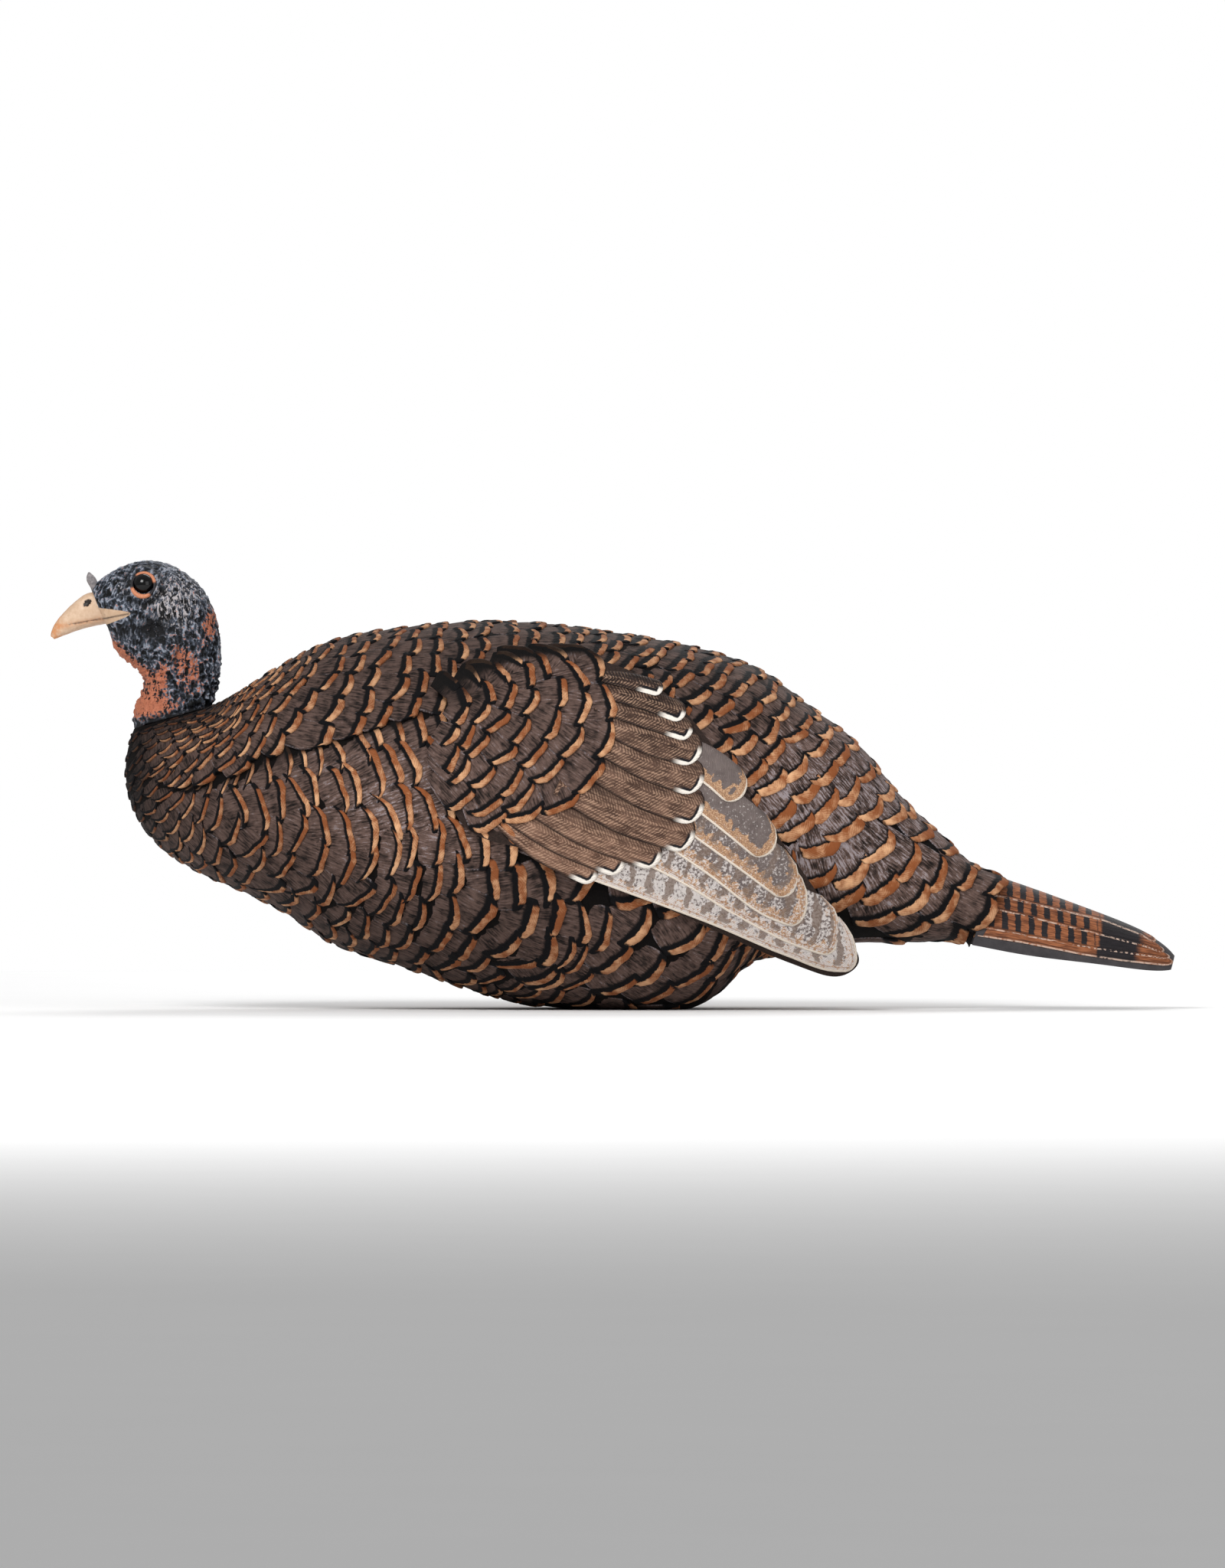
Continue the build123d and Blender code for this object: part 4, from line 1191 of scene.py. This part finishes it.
def head_paint():
    """Slate skin with pale hairs, warty pink skin and painted shade in its hollows."""
    shade = Shade("head_paint", specular=0.2)
    pink, pale, dark, gape, high = shade.attributes("pink", "pale", "dark", "gape", "high")
    grain = shade.noise(0.9, detail=4.0)
    cloud = shade.noise(3.2, detail=4.0)
    worn = high + (grain - 0.5) * 0.7
    slate = shade.mix(shade.step(worn, 0.16, 0.62), paint(7, 8, 10), paint(60, 66, 77))
    slate = shade.mix(shade.step(worn, 0.6, 0.98) * 0.9, slate, paint(154, 161, 174))
    stretched = shade.add("VectorMath", {0: shade.place, 1: (1.0, 1.0, 0.34)}, operation="MULTIPLY")
    hairs = shade.step(shade.noise(1.05, stretched) + pale * 0.15 + high * 0.14, 0.62, 0.74)
    tuft = shade.mix(shade.step(pale, -0.4, 0.5), paint(152, 160, 175), paint(186, 179, 180))
    colour = shade.mix(hairs * 0.85, slate, tuft)
    warts = shade.noise(1.5, detail=4.0) * 0.9 + pink * 0.42 + high * 0.34
    warts = shade.step(warts, 0.8, 0.94)
    skin = shade.mix(grain, paint(132, 70, 52), paint(204, 130, 98))
    colour = shade.mix(warts, colour, skin)
    horn = shade.mix(cloud, paint(178, 142, 112), paint(216, 188, 160))
    colour = shade.mix(shade.step(gape, 0.42, 0.55), colour, horn)
    # Painted shade: dark in the hollows, broken up by the grain.
    colour = shade.mix(dark * shade.step(grain, 0.12, 0.5), colour, paint(10, 10, 13))
    return shade.finished(colour, 0.58, cloud + (grain + hairs), 0.5, 0.8)


def bill_paint():
    """Cream horn, tawny at its edges and tip, with a dark nostril and mouth line."""
    shade = Shade("bill_paint")
    dark, tawny = shade.attributes("dark", "tawny")
    streak = shade.noise(2.6, detail=4.0)
    horn = shade.mix(streak, paint(184, 148, 118), paint(220, 194, 168))
    blush = tawny * shade.step(shade.noise(1.8), 0.25, 0.6)
    horn = shade.mix(blush, horn, paint(196, 136, 92))
    broken = dark * shade.step(shade.noise(1.3), 0.38, 0.55)
    deep = shade.math("MAXIMUM", broken * 0.7, shade.step(dark, 1.2, 1.5))
    return shade.finished(shade.mix(deep, horn, paint(34, 24, 20)), 0.45, streak, 0.2, 0.6)


def make_head():
    """Neck and head skin with its folds and warts, open below for the plug."""
    grid = rings("head_skin", HEAD_MIDDLE, HEAD_ROWS, HEAD_COLUMNS)
    normal = grid_normals(grid)
    x, y, z = np.moveaxis(grid, 2, 0)
    side = ramp(np.abs(y), 5, 11)
    from_eye = np.hypot(x - EYE[0], z - EYE[1])
    start = np.linspace(0, 1, HEAD_ROWS)[:, None]
    # Features of the skin, each as strong as its field says.
    squeeze = grid * (1.0, 1.0, 0.62)
    warts = noise_on(squeeze, 3.1, 3)
    fine = noise_on(squeeze, 1.4, 2, 9.0)
    ridge = np.clip(1 - 3.4 * np.abs(noise_on(squeeze, 3.6, 2, 3.0)), 0, 1)
    folds = np.sin((x * 0.95 + z * 0.25) * 1.15 + 2.0 * noise_on(grid, 9.0, 2, 4.0))
    creases = np.sin(z * 1.25 - x * 0.35 + 2.4 * noise_on(grid, 7.0, 2, 6.0))
    throat, throat_share = beside(x, z, (-315.5, 232), (-291, 210))
    throat_strip = bell(throat, 3.4) * np.clip(throat_share * 6, 0, 1)
    bulge = np.clip(spot(x, z, (-291, 187), (11, 12)) + 0.6 * spot(x, z, (-284, 204), (7, 8)), 0, 1)
    ear = spot(x, z, (-284.5, 236), (8, 7)) * side
    neck = ramp(z, 228, 214)
    gape, gape_share = beside(x, z, (-322, 243.2), (-300.2, 245.6))
    gape_width = 5.4 * np.clip(1 - gape_share, 0, 1) ** 0.8 + 0.9
    gape_mask = np.clip(1.5 - gape / gape_width, 0, 1) * (gape_share < 1.05)
    # Height over the CAD skin.
    lift = 0.55 * warts + 0.25 * fine + 0.75 * ridge + 0.6
    lift += 0.5 * neck * folds * (0.4 + 0.6 * (x > -284)) + 0.45 * neck * creases
    lift += 1.3 * throat_strip + 1.6 * bulge * (1 + 0.5 * np.abs(warts))
    lift -= 3.0 * ear
    lift += side * (0.5 * bell(from_eye - 9.2, 1.5) - 1.3 * bell(from_eye - 12.4, 1.6))
    lift += 1.2 * side * spot(x, z, (-292, 274), (9, 2.6), 8)
    lift += 0.8 * side * spot(x, z, (-276, 252), (7, 9))
    lift = np.where((from_eye < 7.4) & (np.abs(y) > 8), -0.6, lift)
    lift = lift * (1 - gape_mask) + 0.9 * gape_mask
    lift = lift * np.clip(start * 30, 0.25, 1) * np.clip((1 - start) * 22, 0, 1)
    # Colours.
    pink = throat_strip + 1.15 * bulge + 0.8 * spot(x, z, (-251, 239), (4.5, 11), -10)
    pink += 0.62 * spot(x, z, (-263, 210), (8, 15)) + 0.5 * spot(x, z, (-270, 221), (5, 8))
    pink += 0.8 * spot(x, z, (-277, 184), (9, 8)) + 0.5 * spot(x, z, (-279, 208), (3, 10))
    pink = np.clip(pink, 0, 1.2) * np.clip(start * 14, 0, 1)
    pale = spot(x, z, (-272, 252), (20, 22)) * 1.2 + 0.6 * spot(x, z, (-306, 262), (14, 8)) - 0.5
    # Painted shade: dark in the ear hollow, under the mouth, along the neck's fold, in the groove round
    # the eye and at the collar where the neck meets the body; in the gape only the mouth line, a dark
    # joint, is dark.
    fold_line = bell(beside(x, z, (-268, 240), (-272, 214))[0], 1.0)
    dark = 1.6 * ear + 0.75 * spot(x, z, (-303, 235), (9, 5.5)) + 0.8 * fold_line * side
    dark += 0.7 * side * bell(from_eye - 11.6, 2.0) + np.clip(1 - start * 26, 0, 1)
    dark = np.clip(dark - 1.2 * throat_strip, 0, 1)
    dark = dark * (1 - gape_mask) + 0.9 * gape_mask * bell(beside(x, z, *MOUTH)[0], 0.5)
    high = np.clip(0.72 * ridge + 0.5 * warts + 0.35 * fine + 0.25, 0, 1)
    # The lower edge comes down to the collar, most at the throat, and turns in round the plug.
    up, along = axes_of(NECK_TILT)
    turns = 2 * math.pi * (np.arange(HEAD_COLUMNS) + 0.5) / HEAD_COLUMNS
    circle = ring_points(np.array(NECK_MIDDLE), up, turns, np.full(HEAD_COLUMNS, NECK_OPENING))
    surface = grid + normal * lift[..., None]
    surface[0] -= (0.6 + 0.5 * (x[0] < -291)[:, None]) * along
    surface = np.concatenate([[circle + 4.4 * along, circle + 0.6 * along], surface])
    values = {"pink": pink, "pale": pale, "dark": dark, "gape": gape_mask, "high": high}
    # The recess round the plug is painted dark, as shade inside the opening.
    for key, value in values.items():
        recess = np.full((2, HEAD_COLUMNS), float(key == "dark"))
        values[key] = np.concatenate([recess, value])
    points, faces = surface.reshape(-1, 3), capped(surface)
    piece = make_piece("head_and_neck", points, faces, head_paint(), "head", values)
    piece.data.set_sharp_from_angle(angle=math.radians(60))
    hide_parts("head_skin")


def make_bill():
    """Bill with its mouth line, and the nostrils in their raised surround."""
    grid = rings("bill", BILL_MIDDLE, BILL_ROWS, BILL_COLUMNS)
    normal = grid_normals(grid)
    x, y, z = np.moveaxis(grid, 2, 0)
    side = ramp(np.abs(y), 1.5, 3.0)
    mouth, share = beside(x, z, *MOUTH)
    groove = bell(mouth, 0.55) * np.clip((share - 0.12) * 9, 0, 1) * side
    hole = spot(x, z, NOSTRIL, (3.2, 1.9), 36)
    around = spot(x, z, (NOSTRIL[0] + 0.5, NOSTRIL[1]), (7.0, 4.6), 36)
    lift = 0.35 - 0.55 * groove + side * (0.75 * around - 2.0 * hole)
    lift += 0.12 * noise_on(grid, 3.0, 3)
    ends = np.linspace(0, 1, BILL_ROWS)[:, None]
    surface = grid + normal * (lift * np.clip((1 - ends) * 14, 0.2, 1))[..., None]
    tawny = ramp(x, -341, -348) + bell(mouth, 1.8) * 0.6 + np.clip((2.2 - np.abs(y)) / 3, 0, 0.6)
    values = {"dark": side * np.where(hole > 0.42, 2.0, 0) + groove, "tawny": np.clip(tawny, 0, 1)}
    points, faces = surface.reshape(-1, 3), capped(surface)
    piece = make_piece("bill_horn", points, faces, bill_paint(), "head", values)
    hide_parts("bill")


def make_snood():
    """The nub above the bill: a round-ended tube through points of the centre plane."""
    shares = np.linspace(0, 1, 40)
    points = [(-320.8, 259.0), (-323.4, 264.5), (-325.2, 268.2), (-326.2, 271.6)]
    spine, _ = curve_through(points, shares)
    radii = (3.2, 2.8, 2.6, 2.9, 2.9, 2.1, 0.5)
    radii = np.interp(shares, np.linspace(0, 1, len(radii)), radii)[:, None]
    way = np.gradient(spine, axis=0)
    way /= np.linalg.norm(way, axis=1, keepdims=True)
    turn = 2 * math.pi * np.arange(40) / 40
    grid = np.stack([
        spine[:, :1] - radii * way[:, 1:] * np.cos(turn), radii * np.sin(turn),
        spine[:, 1:] + radii * way[:, :1] * np.cos(turn),
    ], -1)
    skin = plain_paint("snood_paint", (52, 54, 60), (176, 168, 168), 1.6, 0.6, 0.25)
    nub = make_piece("snood_nub", grid.reshape(-1, 3), capped(grid), skin, "head")
    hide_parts("snood")


def make_eyelids():
    """A fleshy ring round each eye, thin at the corners."""
    shade = Shade("eyelid_paint")
    grain = shade.noise(1.2)
    flesh = shade.mix(grain, paint(164, 92, 62), paint(216, 146, 108))
    corner = shade.step(shade.attributes("corner")[0], 0.55, 0.8)
    material = shade.finished(shade.mix(corner, flesh, paint(28, 26, 30)), 0.6, grain, 0.2, 1.0)
    tree = tree_of("head_skin")
    turn = 2 * math.pi * np.arange(LID_ROWS) / LID_ROWS
    about = 2 * math.pi * np.arange(LID_COLUMNS) / LID_COLUMNS
    skin_y = [
        -seen_from_left(tree, EYE[0] + 8.4 * math.cos(angle), EYE[1] + 8.4 * math.sin(angle))[0].y
        for angle in turn
    ]
    thick = (0.85 + 0.65 * np.abs(np.sin(turn + 0.35)) ** 1.5)[:, None]
    reach = LID_RADIUS + thick * np.cos(about)
    x = EYE[0] + reach * np.cos(turn)[:, None]
    z = EYE[1] + reach * np.sin(turn)[:, None]
    y = np.array(skin_y)[:, None] + 1.1 + 1.2 * thick * np.sin(about)
    corners = np.repeat(np.abs(np.cos(turn + 0.35))[:, None] ** 2, LID_COLUMNS, 1)
    for name, sign in SIDES.items():
        faces = []
        for i, j in np.ndindex(LID_ROWS, LID_COLUMNS):
            row, after = i * LID_COLUMNS, (i + 1) % LID_ROWS * LID_COLUMNS
            k = (j + 1) % LID_COLUMNS
            faces.append([row + j, row + k, after + k, after + j][::-sign])
        points = np.stack([x, sign * y, z], -1).reshape(-1, 3)
        make_piece("eyelid_" + name, points, faces, material, "head", {"corner": corners})


# ---------------------------------------------------------------- CAD nodes
# Finishes of the CAD nodes: dark and light colour, mottle size, roughness, depth, then metallic
# and specular where they aren't the usual. A node takes the first one that its name starts with.
STEEL = ((150, 150, 152), (186, 186, 188), 2.0, 0.3, 0.01, 1.0)
NYLON = ((44, 42, 42), (58, 56, 56), 3.0, 0.5, 0.03)
WING = ((20, 16, 15), (66, 53, 48), 1.3, 0.85, 0.5, 0.0, 0.1)
FINISHES = {
    # The shell shows only in the gaps between feathers, and its near-black colour is painted shade
    # there.
    "body_shell": ((6, 5, 5), (18, 14, 13), 4.0, 0.9, 0.3, 0.0, 0.1),
    "wing_left": WING,
    "wing_right": WING,
    "wing_clips": ((38, 38, 40), (52, 52, 54), 2.0, 0.45, 0.03),
    "tail_fan": ((38, 36, 38), (72, 68, 70), 6.0, 0.7, 0.2),
    "tail_tang": ((48, 46, 46), (62, 60, 60), 3.0, 0.5, 0.03),
    "tail_socket_screws": STEEL,
    "tail_socket": NYLON,
    "tail_rivets": ((160, 158, 154), (192, 190, 186), 2.0, 0.3, 0.01, 1.0),
    "neck_socket_screws": STEEL,
    "neck_": NYLON,
    "plug_friction_ring": ((22, 22, 22), (34, 34, 34), 1.5, 0.85, 0.02),
    "swivel": STEEL,
    "stake_tube_screws": STEEL,
    "stake": ((46, 44, 44), (60, 58, 58), 3.0, 0.5, 0.03),
    "back_saddle": ((206, 204, 198), (226, 224, 220), 2.0, 0.9, 0.4),
    "drain_grommets": ((22, 22, 22), (34, 34, 34), 1.5, 0.8, 0.02),
    "seam_dowels": ((200, 178, 140), (222, 202, 166), 3.0, 0.6, 0.05),
    "head_skin": ((60, 65, 75), (80, 86, 96), 3.0, 0.7, 0.2),
    "snood": ((90, 92, 98), (150, 140, 140), 1.5, 0.6, 0.1),
    "bill": ((208, 176, 142), (232, 206, 180), 4.0, 0.5, 0.05),
    "eye": ((2, 2, 3), (5, 5, 6), 4.0, 0.1, 0.0),
}


def finish_cad_nodes():
    """A procedural finish on every CAD node."""
    made = {}
    for name, node in sorted(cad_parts.items()):
        key = next(key for key in FINISHES if name.startswith(key))
        if key not in made:
            made[key] = plain_paint("finish_" + key.strip("_"), *FINISHES[key])
        node.data.materials.clear()
        node.data.materials.append(made[key])


# ---------------------------------------------------------------- stage
def studio():
    """Pale floor, soft light and the camera, level with the middle of the bird's left side."""
    scene = bpy.context.scene
    bpy.ops.mesh.primitive_plane_add(size=20, location=(0, -8.4, -0.0003))
    floor = bpy.context.object
    floor.name = "floor"
    shade = Shade("floor_paper", specular=0.1)
    colour = shade.mix(shade.noise(60.0), paint(247, 247, 247), paint(250, 250, 250))
    shade.put(shade.bsdf, {"Base Color": colour, "Roughness": 0.9})
    floor.data.materials.append(shade.material)
    # The backdrop is white to the camera, and gives the object less light than that.
    world = bpy.data.worlds.new("studio")
    scene.world = world
    world.use_nodes = True
    nodes, links = world.node_tree.nodes, world.node_tree.links
    backdrop, ambient = nodes["Background"], nodes.new("ShaderNodeBackground")
    for node, strength in ((backdrop, 1.0), (ambient, 0.42)):
        node.inputs["Color"].default_value = (1, 1, 1, 1)
        node.inputs["Strength"].default_value = strength
    path, both = nodes.new("ShaderNodeLightPath"), nodes.new("ShaderNodeMixShader")
    links.new(path.outputs["Is Camera Ray"], both.inputs[0])
    links.new(ambient.outputs[0], both.inputs[1])
    links.new(backdrop.outputs[0], both.inputs[2])
    links.new(both.outputs[0], nodes["World Output"].inputs["Surface"])
    middle = Vector((0, 0, (cad_box[0][2] + cad_box[1][2]) / 2))
    for name, place, size, power in (
        ("key_light", (-1.0, -2.3, 2.1), 1.2, 66), ("fill_light", (1.9, -2.4, 1.1), 2.0, 20),
        ("back_light", (0.6, 2.2, 2.0), 1.8, 40),
    ):
        data = bpy.data.lights.new(name, "AREA")
        data.size, data.energy = size, power
        light = bpy.data.objects.new(name, data)
        light.location = place
        light.rotation_euler = (middle - Vector(place)).to_track_quat("-Z", "Y").to_euler()
        scene.collection.objects.link(light)
    distance, frame_height, sensor = 8.0, 0.9766, 36.0
    camera_data = bpy.data.cameras.new("camera")
    camera_data.sensor_width = sensor
    camera_data.lens = sensor * distance / frame_height
    camera_data.clip_end = 50.0
    camera = bpy.data.objects.new("camera", camera_data)
    camera.location = (0, -distance, 0.1397)
    camera.rotation_euler = (math.pi / 2, 0, 0)
    scene.collection.objects.link(camera)
    scene.camera = camera
    scene.view_settings.view_transform = "Standard"


# ---------------------------------------------------------------- build
studio()
plumage = lay_body_feathers()
lay_wings(plumage)
lay_tail()
make_head()
make_bill()
make_eyelids()
make_snood()
finish_cad_nodes()
